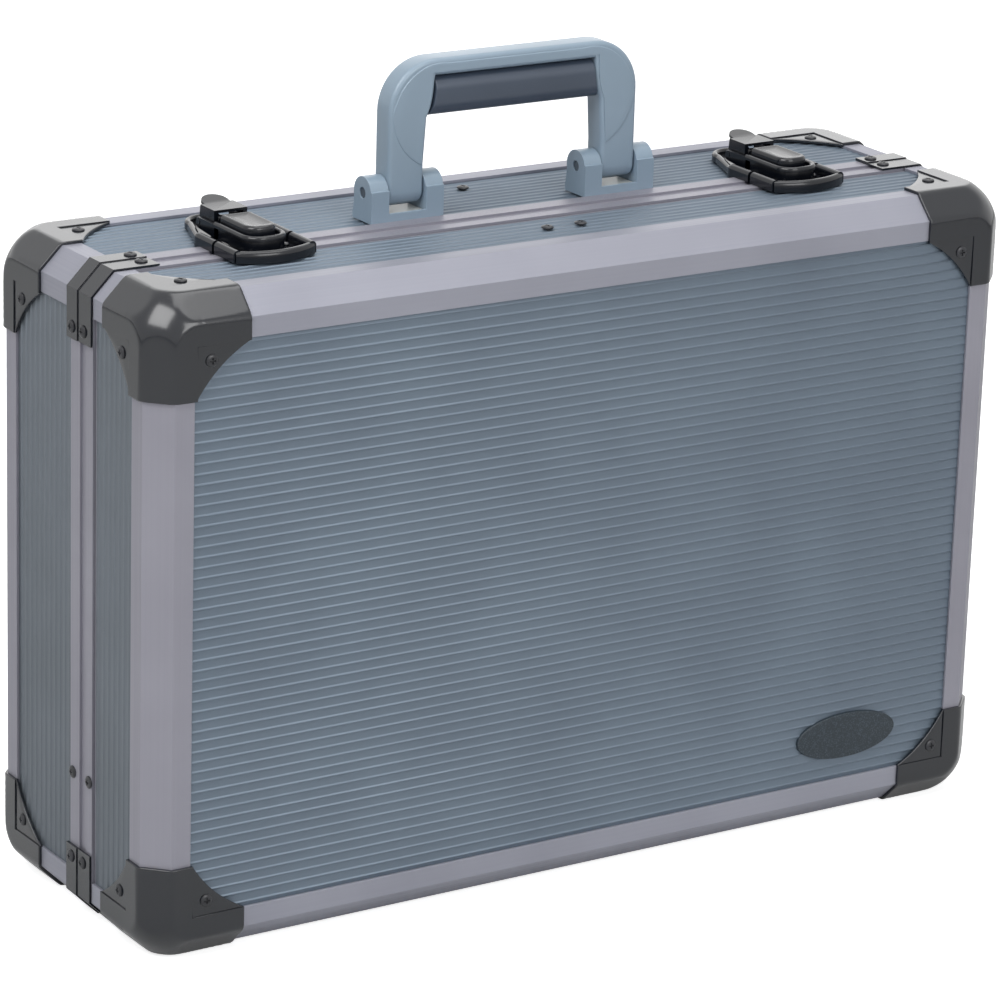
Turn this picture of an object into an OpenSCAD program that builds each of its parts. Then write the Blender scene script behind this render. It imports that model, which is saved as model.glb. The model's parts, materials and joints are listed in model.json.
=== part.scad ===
// Hard tool case: ribbed aluminium-faced panels in edge rails, with a thin
// front lid that swings down on two bottom hinges, two draw latches and a
// folding handle on top. Millimetres, +Z up, standing as it is carried.
// Origin: middle of the width and depth, on the plane the corner caps rest on.

/* [Case] */
// Outside width over the edge rails
case_w = 460; // [400:5:560]
// Outside height over the edge rails
case_h = 305; // [270:5:400]
// Outside depth from front to back
case_d = 150; // [144:2:200]
// Depth of the lid, from the front to the seam
lid_d = 56; // [54:1:62]
// Gap at the seam
seam_gap = 0.6; // [0.4:0.1:0.8]

/* [Edge rails] */
// Flat flange on each side of a rail
rail_flange = 9.5; // [8.5:0.5:10.5]
// Leg of the rail's 45 degree chamfer
rail_chamfer = 10.5; // [9.5:0.5:11.5]
// Wall of the rail
rail_wall = 1.5; // [1.3:0.1:1.7]
// Wall of the inner lip that holds the boards
lip_wall = 1.2; // [1:0.1:1.4]
// How far the inner lip reaches from the case's outside
lip_reach = 16; // [14:0.5:17]
// Gap between the rails' ends and the blocks inside the corner caps
rail_gap = 2; // [1:0.5:3]

/* [Panels] */
// Thickness of a faced board
board = 4.5; // [4:0.25:5]
// Gap between a board's edge and the rail's chamfer
board_gap = 0.4; // [0.2:0.1:0.8]
// Spacing of the ribs
rib_pitch = 4.75; // [4:0.25:6]
// Height of a rib
rib_h = 1; // [0.8:0.1:1.2]
// Width of a rib at its foot
rib_foot = 1.8; // [1.4:0.1:2.2]
// Width of a rib at its crest
rib_crest = 0.8; // [0.6:0.1:1.2]
// Gap between the rib ends and the rail
rib_end_gap = 0.3; // [0.2:0.1:0.6]
// Width of the bare badge plate
badge_w = 58; // [40:1:70]
// Height of the bare badge plate
badge_h = 21; // [16:1:26]
// Distance of the badge centre from the right side
badge_x = 79; // [60:1:120]
// Height of the badge centre
badge_z = 42; // [38:1:60]

/* [Parting band] */
// Width of the band that shows behind the seam
band_w = 20.5; // [18:0.5:22]
// Width of the band's front strip
band_strip = 6; // [5:0.5:7]
// Width of the recessed step behind it
band_step_w = 5.5; // [4:0.5:6]
// Depth of the recessed step
band_step = 1.2; // [0.8:0.1:1.4]
// How far the tongue enters the lid
tongue = 7; // [5:0.5:8]
// Wall of the tongue
tongue_wall = 1.2; // [1:0.1:1.4]
// Gap between the tongue and the lid's lip
tongue_gap = 0.3; // [0.3:0.05:0.5]
// Thickness of the end of the lid's rim angle
rim_end = 0.8; // [0.6:0.1:1.2]
// Thickness of the lining
lining_t = 2.6; // [2:0.1:3]

/* [Corner pieces] */
// Cap length along the width
cap_x = 47; // [42:1:54]
// Cap length along the depth
cap_y = 45; // [40:1:48]
// Cap length along the height
cap_z = 45; // [42:1:54]
// How far the cap's edge ridge stands out
cap_ridge = 1.5; // [1.2:0.1:2]
// How far its corner plates stand out
cap_plate = 0.9; // [0.7:0.1:1.1]
// How far a cap's ridge reaches past the rails
cap_over = 0.6; // [0.4:0.1:1.5]
// Hollow of a corner plate's inner edge
cap_hollow = 2.6; // [1.5:0.1:4]
// Distance of the cap screws from the case's outside
screw_in = 27.5; // [25:0.5:30]
// Leg of a seam bracket
bracket_leg = 33; // [31:1:38]
// Thickness of a bracket's front half
bracket_low = 0.9; // [0.7:0.1:1]
// Thickness of its rear half
bracket_high = 1.4; // [1.1:0.1:1.4]
// Distance of the bracket screws from the case's outside
bracket_screw = 27.5; // [26:0.5:28]

/* [Screws and rivets] */
// Radius of a screw head
head_r = 2.9; // [2.6:0.1:3.4]
// Height of a screw head
head_h = 1.1; // [0.9:0.1:1.5]
// Radius of a screw shank
shank_r = 1.5; // [1.2:0.1:1.8]
// Gap round a shank in its hole
shank_gap = 0.1; // [0.05:0.05:0.2]
// Radius of a rivet head
rivet_r = 2.1; // [1.8:0.1:2.2]
// Height of a rivet head
rivet_h = 0.8; // [0.6:0.1:1]

/* [Hinges] */
// Distance of each hinge from the middle
hinge_x = 120; // [90:5:140]
// Length of a hinge
hinge_len = 70; // [60:5:90]
// Radius of the knuckles
knuckle_r = 3; // [2.8:0.1:3.2]
// Radius of the hinge pin
hinge_pin_r = 1.2; // [1:0.1:1.4]
// Thickness of a leaf
leaf_t = 1.2; // [1:0.1:1.3]
// Reach of a leaf from the pin
leaf_reach = 18; // [16:1:19]
// Gap between knuckles
knuckle_gap = 0.4; // [0.3:0.1:0.6]
// How far the lid opens, in degrees
lid_open = 90; // [60:5:90]

/* [Handle] */
// Distance of each handle arm from the middle
arm_x = 58; // [50:1:66]
// Width of a handle arm
arm_w = 19; // [16:0.5:22]
// Depth of the handle
arm_t = 13.6; // [12:0.2:15]
// Height of the handle's top above the case
handle_h = 73; // [66:0.5:80]
// Radius of the handle's outer corners
handle_corner = 24; // [18:1:28]
// Height of the handle pivot above the case
pivot_h = 12.8; // [12:0.2:14]
// Distance of the handle pivot behind the parting band
pivot_y = 8.5; // [8.5:0.1:10]
// Height of the grip
grip_h = 19; // [16:0.5:22]
// Bar of the handle above the grip
bar_h = 8; // [6:0.5:10]
// Radius of the handle pins
handle_pin_r = 2.5; // [2:0.1:3]
// Width of each cheek of a handle mount
cheek_w = 9.4; // [8:0.2:11]
// Depth of a handle mount
mount_t = 17; // [16:0.5:18]
// Radius of a cheek's dome
cheek_r = 7.7; // [7.2:0.1:8.2]
// Height of the front ledge of a cheek
ledge_h = 14.5; // [13:0.5:16]
// Height of the sill between the cheeks
sill_h = 3.7; // [3:0.1:4.5]
// Side clearance of a handle arm in its mount
arm_gap = 0.35; // [0.3:0.05:0.5]

/* [Latches] */
// Distance of each latch from the middle
latch_x = 145; // [120:1:150]
// Width of the latch plates
plate_w = 42; // [40:1:48]
// Thickness of the latch plates
plate_t = 1.2; // [1:0.1:1.4]
// Bow of the strike's front edge
strike_bow = 6.5; // [4:0.5:8]
// Width of the rolled edge
roll_w = 4.2; // [3.6:0.2:4.4]
// Height of the rolled edge
roll_h = 5.8; // [5:0.2:6.4]
// Width of the claw
claw_w = 20.8; // [20:0.2:22]
// Sheet thickness of the claw's walls
claw_wall = 1.6; // [1.4:0.1:1.8]
// Height of the claw's rim above the case
claw_h = 8.4; // [8:0.2:9]
// Height of the claw's raised deck above the case
deck_h = 12.4; // [11.6:0.2:13]
// Width of the raised deck
deck_w = 16; // [14:0.5:16.5]
// Height of the lever pivot above the case
lever_pivot_h = 8.3; // [8:0.1:8.6]
// Distance from the lever pivot back to the claw pivot
claw_back = 8; // [7.5:0.25:8.5]
// Drop from the lever pivot down to the claw pivot
claw_drop = 2.8; // [2.4:0.1:3]
// Radius of the latch pins
latch_pin_r = 1.3; // [1.1:0.1:1.5]
// Length of the thumb tab
tab_len = 8.5; // [7.5:0.5:11]
// Radius of the thumb tab's round end
tab_r = 6.6; // [6:0.1:7.2]
// Upward tilt of the thumb tab, in degrees
tab_tilt = 14; // [8:1:22]
// Clearance between the latch's moving plates
latch_gap = 0.35; // [0.3:0.05:0.45]

/* [Lid stays] */
// Length of a stay arm between its studs
stay_len = 104.75; // [104:0.25:105.5]
// Height of the stay pivot above the case bottom
stay_z = 68; // [67.5:0.25:68.5]
// Distance of the stay pivot behind the seam
stay_y = 8; // [7.75:0.25:8.25]
// Width of a stay arm
stay_w = 9; // [7:0.5:9]
// Thickness of a stay arm
stay_t = 2; // [1.6:0.1:2.4]
// Radius of the sliding stud
stud_r = 3; // [2.6:0.1:3.4]

/* [Hidden] */
$fn = 48;

panel_color = "#8f9ba2";
rail_color = "#a2a2ac";
cap_color = "#3a3b40";
steel_color = "#2b2c31";
zinc_color = "#b9bcc0";
handle_color = "#8499a5";
grip_color = "#4a4e59";
badge_color = "#454b56";
lining_color = "#33363c";
nylon_color = "#e4e7e6";

// How far a point of the chamfer line moves along a face for each unit of depth
chamfer_shift = sqrt(2) - 1;
half_w = case_w / 2;
half_h = case_h / 2;
half_plate = plate_w / 2;
edge_in = rail_flange + rail_chamfer;
rail_stop = edge_in + rail_gap;
cap_reach = edge_in + cap_over;
wall_in = rail_wall + board;
lip_in = wall_in + lip_wall;
board_in = rail_chamfer + chamfer_shift * rail_wall + board_gap;
lining_gap = 0.2;
lining_out = lip_in + lining_gap;
lining_in = lining_out + lining_t;
lid_end = lid_d - seam_gap / 2;
band_start = lid_d + seam_gap / 2;
band_end = lid_d + band_w;
step_start = band_start + band_strip;
step_end = step_start + band_step_w;
slot_start = step_end + 2;
tongue_out = lip_in + tongue_gap;
tongue_in = tongue_out + tongue_wall;
strip_drop = 0.3;
mitre_gap = 0.1;
rib_top = rib_h - rail_wall;
hole_r = shank_r + shank_gap;
screw_bite = 3.5;
cut = 1;
// How far two arcs that meet in one outline overlap
arc_lap = 0.04;

hinge_z = knuckle_r - cap_ridge + 0.7;
knuckle_clear = 0.5;
// Distance of the hinge rivets from the ends of a leaf and from its edge
hinge_end = 8;
leaf_end = 5;
pin_fit = 0.05;
knuckles = 5;
knuckle_pitch = (hinge_len + knuckle_gap) / knuckles;

pivot_d = band_end + pivot_y;
slot_w = arm_w + 2 * arm_gap;
mount_w = slot_w + 2 * cheek_w;
arch_top = case_h + handle_h;
pocket_top = arch_top - bar_h;
grip_bottom = pocket_top - grip_h;
grip_flare = 3.5;
mount_foot = 1.8;
mount_bite = 6;
sill_t = 1.6;
stop_t = 1.6;
grip_gap = 0.3;
grip_top_x = arm_x - arm_w / 2 - 5;
core_t = 7;
core_h = 11;

// Latch stations, measured back from the front of the case
strike_front = lid_d - 10;
strike_back = lid_end - 0.1;
roll_split = band_start + 9;
plate_front = band_start + 0.7;
seam_to_lever = 33;
seam_to_tail = 25;
lever_pivot = lid_d + seam_to_lever;
claw_pivot = lever_pivot + claw_back;
claw_pivot_h = lever_pivot_h - claw_drop;
claw_front = lid_d - 6;
claw_back_edge = lever_pivot - 6.5;
tail_centre = lever_pivot + 16;
tail_r = 11.5;
tail_start = lid_d + seam_to_tail;
tail_rim_w = 2.2;
tail_rim_h = 3.4;
ear_w = 1.6;
ear_in = 4.6;
ear_out = ear_in + ear_w;
lever_in = ear_out + latch_gap;
claw_half = claw_w / 2;
claw_bore_in = claw_half - claw_wall;
lever_half = claw_bore_in - latch_gap;
lever_eye = 2.8;
web_top = lever_pivot_h + lever_eye + latch_gap + 1.3;
web_front = lever_pivot - 2.9;
web_back = lever_pivot + 10;
plate_rivet_x = claw_half + rivet_r + 1;

// Lid stays: the arm turns stay_ratio times as far as the lid, which keeps
// its sliding stud close to one straight line on the lid
stay_ratio = 1.725;
stay_rest = 99.06;
stay_plate = 1.5;
slot_room = 1.2;
stay_pivot = [lid_d + stay_y, stay_z];
hinge_axis = [lid_d, hinge_z];
stay_gap = 0.4;
stud_play = 0.3;
track_half = stud_r + slot_room + 2.2;
arm_in = lining_in + stay_plate + stay_gap;

// The point v turned by an angle about the origin of the side view
function turned(v, angle) = [v[0] * cos(angle) - v[1] * sin(angle), v[0] * sin(angle) + v[1] * cos(angle)];
// Where the stay's sliding stud lies, seen from the lid, with the lid open by an angle
function stud_at(angle) = hinge_axis + turned(stay_pivot - hinge_axis
    + stay_len * [cos(stay_rest + stay_ratio * angle), sin(stay_rest + stay_ratio * angle)], -angle);
// The outline of a case edge at a depth inside the envelope, out to a reach
function edge_line(depth, reach) = [[reach, depth], [rail_chamfer + chamfer_shift * depth, depth],
    [depth, rail_chamfer + chamfer_shift * depth], [depth, reach]];
function reversed(list) = [for (i = [len(list) - 1:-1:0]) list[i]];
// The case's chamfered outline at a depth inside the envelope, seen from the front
function case_outline(depth) = let (c = rail_chamfer + chamfer_shift * depth)
    [[-half_w + c, depth], [half_w - c, depth], [half_w - depth, c], [half_w - depth, case_h - c],
    [half_w - c, case_h - depth], [-half_w + c, case_h - depth], [-half_w + depth, case_h - c],
    [-half_w + depth, c]];

// Where the fixings sit on each wall, as [along, across] pairs
function cap_points(half_length, across) = [for (side = [-1, 1]) [side * (half_length - screw_in), across]];
function bracket_points(half_length, row) = [for (side = [-1, 1])
    [side * (half_length - bracket_screw), bracket_rows[row]]];
lid_top_screws = [[-7, 38], [11, 38]];
seam_to_top_screw = 61;
base_top_screws = [[-3, lid_d + seam_to_top_screw]];
bracket_rows = [band_start + 7, band_start + 17];
stay_screw_rows = [stay_pivot[0] - 5, stay_pivot[0] + 10];
strike_rivet_row = strike_back - 5;
strike_rivets = [for (side = [-1, 1], x = [-1, 1]) [side * latch_x + x * plate_rivet_x, strike_rivet_row]];
plate_rivet_rows = [plate_front + 3.5, tail_start - 3];
plate_rivets = [for (side = [-1, 1], x = [-1, 1], y = plate_rivet_rows)
    [side * latch_x + x * plate_rivet_x, y]];
mount_screws = [for (side = [-1, 1], x = [-1, 1])
    [side * arm_x + x * (slot_w + cheek_w) / 2, pivot_d]];
hinge_rivets_x = [for (side = [-1, 1], x = [-1, 0, 1]) side * hinge_x + x * (hinge_len / 2 - hinge_end)];
lid_hinge_rivets = [for (x = hinge_rivets_x) [x, lid_d - leaf_reach + leaf_end]];
base_hinge_rivets = [for (x = hinge_rivets_x) [x, lid_d + leaf_reach - leaf_end]];

// Places everything drawn from the case's front bottom edge in the part's frame
module in_case() {
    translate([0, -case_d / 2, cap_ridge]) children();
}

// Wall frames: X along the ribs, Y across them, Z outwards from the board's face
module on_top() {
    translate([0, 0, case_h - rail_wall]) children();
}

module on_bottom() {
    translate([0, 0, rail_wall]) mirror([0, 0, 1]) children();
}

module on_front() {
    translate([0, rail_wall, 0]) rotate([90, 0, 0]) children();
}

module on_back() {
    translate([0, case_d - rail_wall, 0]) mirror([0, 1, 0]) rotate([90, 0, 0]) children();
}

module on_left() {
    translate([-half_w + rail_wall, 0, half_h]) rotate([0, -90, 0]) children();
}

module on_right() {
    translate([half_w - rail_wall, 0, half_h]) rotate([0, 90, 0]) children();
}

// Mirrors a shape drawn at the front bottom left corner to another corner
module at_corner(right, top, back) {
    translate([right ? half_w : -half_w, back ? case_d : 0, top ? case_h : 0])
        mirror([right ? 1 : 0, 0, 0])
            mirror([0, back ? 1 : 0, 0])
                mirror([0, 0, top ? 1 : 0])
                    children();
}

module both_sides() {
    children();
    mirror([1, 0, 0]) children();
}

// Extrudes a shape drawn in X and Z along Y between two depths
module along_y(from, to) {
    translate([0, to, 0]) rotate([90, 0, 0]) linear_extrude(to - from) children();
}

// Extrudes a shape drawn in Y and Z along X between two places
module along_x(from, to) {
    translate([from, 0, 0]) rotate([90, 0, 90]) linear_extrude(to - from) children();
}

// A round pan head on a shank, seated at Z = 0, with a crossed recess
module screw(length) {
    difference() {
        rotate_extrude()
            polygon([[0, -length], [shank_r, -length], [shank_r, 0], [head_r, 0], [head_r, head_h * 0.45],
                [head_r * 0.78, head_h * 0.85], [head_r * 0.4, head_h], [0, head_h]]);
        for (turn = [0, 90])
            rotate([0, 0, turn])
                translate([-head_r * 0.5, -0.35, head_h - 0.7]) cube([head_r, 0.7, cut]);
    }
}

// A screw with a thin flat head, for the faces close to the ground
module flat_screw(length) {
    translate([0, 0, -length]) cylinder(r = shank_r, h = length);
    cylinder(r = head_r, h = cap_ridge - cap_plate - 0.1);
}

// A low round rivet, seated at Z = 0
module rivet(length) {
    rotate_extrude()
        polygon([[0, -length], [shank_r, -length], [shank_r, 0], [rivet_r, 0], [rivet_r, rivet_h * 0.3],
            [rivet_r * 0.7, rivet_h * 0.85], [0, rivet_h]]);
}

module holes(points, from, to) {
    for (p = points)
        translate([p[0], p[1], from]) cylinder(r = hole_r, h = to - from);
}

// Ribs along X between two places across the wall
module ribs(length, from, to) {
    count = floor((to - from - rib_foot) / rib_pitch) + 1;
    first = (from + to - (count - 1) * rib_pitch) / 2;
    root = 0.5;
    rib = [[-rib_foot / 2, 0], [-rib_crest / 2, rib_h], [rib_crest / 2, rib_h], [rib_foot / 2, 0]];
    comb = [for (i = [0:count - 1], p = rib) [first + i * rib_pitch + p[0], p[1]]];
    last = first + (count - 1) * rib_pitch;
    along_x(-length / 2, length / 2)
        polygon(concat([[first - rib_foot / 2, -root]], comb, [[last + rib_foot / 2, -root]]));
}

// A faced board with its ribs: half the length, where it lies across, where the ribs lie
module panel(half_length, from, to, rib_from, rib_to, points) {
    half_board = half_length - board_in;
    difference() {
        union() {
            translate([-half_board, from, -board]) cube([2 * half_board, to - from, board]);
            ribs(2 * (half_length - edge_in - rib_end_gap), rib_from, rib_to);
        }
        holes(points, -board - cut, rib_h + cut);
    }
}

lid_board_end = lid_end - rim_end;

module lid_wall(half_length, points) {
    panel(half_length, board_in, lid_board_end, edge_in + rib_end_gap, lid_board_end,
        concat(cap_points(half_length, screw_in), points));
}

module base_wall(half_length, points) {
    panel(half_length, slot_start, case_d - board_in,
        band_end + rib_end_gap, case_d - edge_in - rib_end_gap,
        concat(cap_points(half_length, case_d - screw_in), bracket_points(half_length, 1), points));
}

module main_wall() {
    panel(half_w, board_in, case_h - board_in, edge_in + rib_end_gap, case_h - edge_in - rib_end_gap,
        concat(cap_points(half_w, screw_in), cap_points(half_w, case_h - screw_in)));
}

// Room for the knuckles of both hinges
module knuckle_room() {
    for (side = [-1, 1])
        translate([side * hinge_x, lid_d, hinge_z]) rotate([0, 90, 0])
            cylinder(r = knuckle_r + knuckle_clear, h = hinge_len + 2, center = true);
}

// Room along the whole bottom seam for the lid to turn past the base
module seam_relief() {
    translate([-half_w - 3, lid_d, -3]) cube([case_w + 6, hinge_z + 0.4, hinge_z + 3]);
}

// Room for the leaves, from the board's face outwards
module leaf_room(from, to) {
    for (side = [-1, 1])
        translate([side * hinge_x - hinge_len / 2 - 1, from, -3])
            cube([hinge_len + 2, to - from, 3 + rail_wall]);
}

module lid_front_panel() {
    color(panel_color) in_case() difference() {
        on_front() main_wall();
        // flat land behind the badge
        at_badge() badge_outline(0.4, rib_h + cut);
    }
}

module lid_top_panel() {
    color(panel_color) in_case() on_top() lid_wall(half_w, concat(lid_top_screws, strike_rivets));
}

module lid_bottom_panel() {
    color(panel_color) in_case() difference() {
        on_bottom() lid_wall(half_w, lid_hinge_rivets);
        knuckle_room();
        leaf_room(lid_d - leaf_reach - 0.5, lid_d);
    }
}

module lid_left_panel() {
    color(panel_color) in_case() on_left() lid_wall(half_h, []);
}

module lid_right_panel() {
    color(panel_color) in_case() on_right() lid_wall(half_h, []);
}

module base_back_panel() {
    color(panel_color) in_case() on_back() main_wall();
}

module base_top_panel() {
    board_rivets = [for (p = plate_rivets) if (p[1] > band_end) p];
    color(panel_color) in_case() on_top()
        base_wall(half_w, concat(base_top_screws, mount_screws, board_rivets));
}

module base_bottom_panel() {
    color(panel_color) in_case() on_bottom() base_wall(half_w, base_hinge_rivets);
}

module base_left_panel() {
    color(panel_color) in_case() on_left() base_wall(half_h, side_stay_screws(-1));
}

module base_right_panel() {
    color(panel_color) in_case() on_right() base_wall(half_h, side_stay_screws(1));
}

// Section of an edge rail: chamfered outer wall, and the inner lip joined to it on the diagonal
module rail_section() {
    middle = (rail_chamfer + sqrt(2) * rail_wall) / 2;
    web = max(0.6, middle - wall_in + 0.3);
    bend = rail_chamfer + chamfer_shift * rail_wall;
    polygon(concat(edge_line(0, edge_in), [[rail_wall, edge_in], [rail_wall, bend],
        [middle - web, middle + web], [wall_in, wall_in + 2 * web], [wall_in, lip_reach],
        [lip_in, lip_reach], [lip_in, lip_in], [lip_reach, lip_in], [lip_reach, wall_in],
        [wall_in + 2 * web, wall_in], [middle + web, middle - web], [bend, rail_wall],
        [edge_in, rail_wall]]));
}

// Front edge rails, drawn for the lid and mirrored for the base
module rail_along_width() {
    along_x(-half_w + rail_stop, half_w - rail_stop) rail_section();
}

module rail_along_height() {
    translate([-half_w, 0, rail_stop]) linear_extrude(case_h - 2 * rail_stop) rail_section();
}

module to_top() {
    translate([0, 0, case_h]) mirror([0, 0, 1]) children();
}

module to_back() {
    translate([0, case_d, 0]) mirror([0, 1, 0]) children();
}

module lid_edge_top() {
    color(rail_color) in_case() to_top() rail_along_width();
}

module lid_edge_bottom() {
    color(rail_color) in_case() rail_along_width();
}

module lid_edge_left() {
    color(rail_color) in_case() rail_along_height();
}

module lid_edge_right() {
    color(rail_color) in_case() mirror([1, 0, 0]) rail_along_height();
}

module base_edge_top() {
    color(rail_color) in_case() to_back() to_top() rail_along_width();
}

module base_edge_bottom() {
    color(rail_color) in_case() to_back() rail_along_width();
}

module base_edge_left() {
    color(rail_color) in_case() to_back() rail_along_height();
}

module base_edge_right() {
    color(rail_color) in_case() to_back() mirror([1, 0, 0]) rail_along_height();
}

// The four short rails along the depth between two stations
module corner_rails(from, to) {
    for (right = [false, true], top = [false, true])
        at_corner(right, top, false) along_y(from, to) rail_section();
}

module lid_corner_rails() {
    color(rail_color) in_case() corner_rails(rail_stop, lid_end);
}

module base_corner_rails() {
    color(rail_color) in_case() corner_rails(band_end + mitre_gap, case_d - rail_stop);
}

// The case's outline at a depth: chamfered in its wall, square inside it
module ring_area(depth) {
    if (depth < wall_in) polygon(case_outline(depth));
    else translate([-half_w + depth, depth]) square([case_w - 2 * depth, case_h - 2 * depth]);
}

// A closed frame round the case between two depths and two stations
module case_ring(outer, inner, from, to) {
    along_y(from, to) difference() {
        ring_area(outer);
        ring_area(inner);
    }
}

// Splits a frame into four bars with mitred ends
module mitred_bars() {
    reach = 5;
    x = half_w + reach;
    z = case_h + reach;
    g = mitre_gap;
    apex = half_w - half_h;
    sectors = [[[-x + g, z], [x - g, z], [apex - g, half_h], [-apex + g, half_h]],
        [[-x + g, -reach], [x - g, -reach], [apex - g, half_h], [-apex + g, half_h]],
        [[-x, z - g], [-x, -reach + g], [-apex - g, half_h]],
        [[x, z - g], [x, -reach + g], [apex + g, half_h]]];
    for (sector = sectors)
        intersection() {
            children();
            along_y(0, case_d) polygon(sector);
        }
}

module base_band() {
    side_points = [for (z = [bracket_screw, case_h - bracket_screw], y = bracket_rows) [-z, y]];
    strip_rivets = [for (p = plate_rivets) if (p[1] < band_end) p];
    color(rail_color) in_case() difference() {
        mitred_bars() {
            union() {
                case_ring(tongue_out, tongue_in, lid_d - tongue, step_start);
                case_ring(strip_drop, tongue_in, band_start, step_start);
                case_ring(band_step, lip_in, step_start, step_end);
                case_ring(0, lip_in, step_end, slot_start);
                case_ring(0, rail_wall, step_end, band_end);
                case_ring(wall_in, lip_in, step_end, band_end);
            }
        }
        knuckle_room();
        seam_relief();
        leaf_room(lid_d, lid_d + leaf_reach + 0.5);
        // the stay arms swing through the ends of the bottom tongue
        both_sides() translate([-half_w + tongue_in + 0.2, lid_d - tongue - cut, 0])
            cube([stay_t + 6, tongue + cut + seam_gap / 2, tongue_in + cut]);
        on_bottom() holes(base_hinge_rivets, -lip_in, cut);
        for (face = [0, 1])
            translate([0, 0, face * case_h]) mirror([0, 0, face])
                holes(concat(bracket_points(half_w, 0), bracket_points(half_w, 1)), -cut, wall_in);
        for (right = [false, true])
            at_corner(right, false, false) rotate([0, 90, 0]) {
                holes(side_points, -cut, wall_in);
                holes([for (y = stay_screw_rows) [-stay_z, y]], -cut, tongue_in + cut);
            }
        on_top() holes(strip_rivets, -board, rail_wall + cut);
    }
}

module lid_rim() {
    reach_x = half_w - lip_reach - board_gap;
    reach_z = half_h - lip_reach - board_gap;
    color(rail_color) in_case() difference() {
        union() {
            for (face = [0, 1])
                translate([0, 0, face * case_h]) mirror([0, 0, face]) rim_angle(reach_x);
            for (side = [-90, 90])
                translate([0, 0, half_h]) rotate([0, side, 0])
                    translate([0, 0, -half_w]) rim_angle(reach_z);
        }
        knuckle_room();
    }
}

// Angle that caps the edge of a lid wall, lying on the wall at Z = 0
module rim_angle(reach) {
    leg = tongue + rim_end;
    translate([-reach, lid_end - leg, wall_in]) cube([2 * reach, leg, lip_wall]);
    translate([-reach, lid_board_end, rail_wall]) cube([2 * reach, rim_end, board + lip_wall]);
}

// A tray open towards Y, lining the walls between two stations and closed at the first
module lining_tray(closed, open) {
    side = closed < open ? 1 : -1;
    floor_in = closed + side * lining_t;
    difference() {
        translate([-half_w + lining_out, min(closed, open), lining_out])
            cube([case_w - 2 * lining_out, abs(open - closed), case_h - 2 * lining_out]);
        translate([-half_w + lining_in, min(floor_in, open + side * cut), lining_in])
            cube([case_w - 2 * lining_in, abs(open + side * cut - floor_in), case_h - 2 * lining_in]);
    }
}

module lid_lining() {
    color(lining_color) in_case() difference() {
        lining_tray(lining_out, lid_d - tongue - 2);
        both_sides() translate([-half_w, 0, 0]) track_rivets(hole_r);
    }
}

module base_lining() {
    color(lining_color) in_case() difference() {
        lining_tray(case_d - lining_out, step_start + 0.4);
        on_top() holes(mount_screws, -2 * lining_in, 0);
        both_sides() translate([-half_w, 0, stay_z]) rotate([0, 90, 0])
            holes([for (y = stay_screw_rows) [0, y]], 0, 2 * lining_in);
    }
}

// The corner of the case as a block with its faces at a depth and its edges chamfered
module corner_form(depth, size) {
    leg = rail_chamfer + sqrt(2) * depth - depth + cut;
    wedge = [[depth - cut, depth - cut], [leg, depth - cut], [depth - cut, leg]];
    difference() {
        translate([depth, depth, depth]) cube(size - depth);
        translate([0, 0, depth - cut]) linear_extrude(size + 2 * cut) polygon(wedge);
        along_x(depth - cut, size + cut) polygon(wedge);
        along_y(depth - cut, size + cut) polygon(wedge);
    }
}

// Plate on one face of a cap: legs along both edges and a hollow inner edge
module cap_plate_outline(leg_a, leg_b) {
    span = [leg_a - cap_reach, leg_b - cap_reach];
    chord = norm(span);
    bend = chord * chord / (8 * cap_hollow) + cap_hollow / 2;
    outward = [span[1], span[0]] / chord;
    difference() {
        polygon([[-3, -3], [leg_a, -3], [leg_a, cap_reach], [cap_reach, leg_b], [-3, leg_b]]);
        translate([(leg_a + cap_reach) / 2, (leg_b + cap_reach) / 2] + outward * (bend - cap_hollow))
            circle(r = bend, $fn = 128);
    }
}

module corner_cap() {
    size = max(cap_x, cap_y, cap_z) + 5;
    ball_at = rail_stop + 2;
    ball_r = sqrt(2) * ball_at - (rail_chamfer - sqrt(2) * cap_ridge) / sqrt(2) + 2.2;
    difference() {
        union() {
            intersection() {
                corner_form(-cap_ridge, size);
                union() {
                    translate([-3, -3, -3]) cube([cap_x + 3, cap_reach + 3, cap_reach + 3]);
                    translate([-3, -3, -3]) cube([cap_reach + 3, cap_y + 3, cap_reach + 3]);
                    translate([-3, -3, -3]) cube([cap_reach + 3, cap_reach + 3, cap_z + 3]);
                }
            }
            intersection() {
                corner_form(-cap_plate, size);
                union() {
                    along_y(-3, 3) cap_plate_outline(cap_x, cap_z);
                    translate([0, 0, -3]) linear_extrude(6) cap_plate_outline(cap_x, cap_y);
                    along_x(-3, 3) cap_plate_outline(cap_y, cap_z);
                }
            }
        }
        difference() {
            corner_form(0, size + 5);
            cube(edge_in);
        }
        difference() {
            corner_form(rail_wall, size + 5);
            outside_ball(ball_at, ball_r - 1.3);
        }
        outside_ball(ball_at, ball_r);
        translate([screw_in, screw_in, -3]) cylinder(r = hole_r, h = 6);
        translate([screw_in, 3, screw_in]) rotate([90, 0, 0]) cylinder(r = hole_r, h = 6);
        translate([-3, screw_in, screw_in]) rotate([0, 90, 0]) cylinder(r = hole_r, h = 6);
    }
}

// What lies outside a ball in the corner of the case
module outside_ball(middle, radius) {
    difference() {
        translate([-3, -3, -3]) cube(middle + 3);
        translate([middle, middle, middle]) sphere(r = radius, $fn = 96);
    }
}

module lid_cap_top_left() {
    color(cap_color) in_case() at_corner(false, true, false) corner_cap();
}

module lid_cap_top_right() {
    color(cap_color) in_case() at_corner(true, true, false) corner_cap();
}

module lid_cap_bottom_left() {
    color(cap_color) in_case() at_corner(false, false, false) corner_cap();
}

module lid_cap_bottom_right() {
    color(cap_color) in_case() at_corner(true, false, false) corner_cap();
}

module base_cap_top_left() {
    color(cap_color) in_case() at_corner(false, true, true) corner_cap();
}

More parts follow.
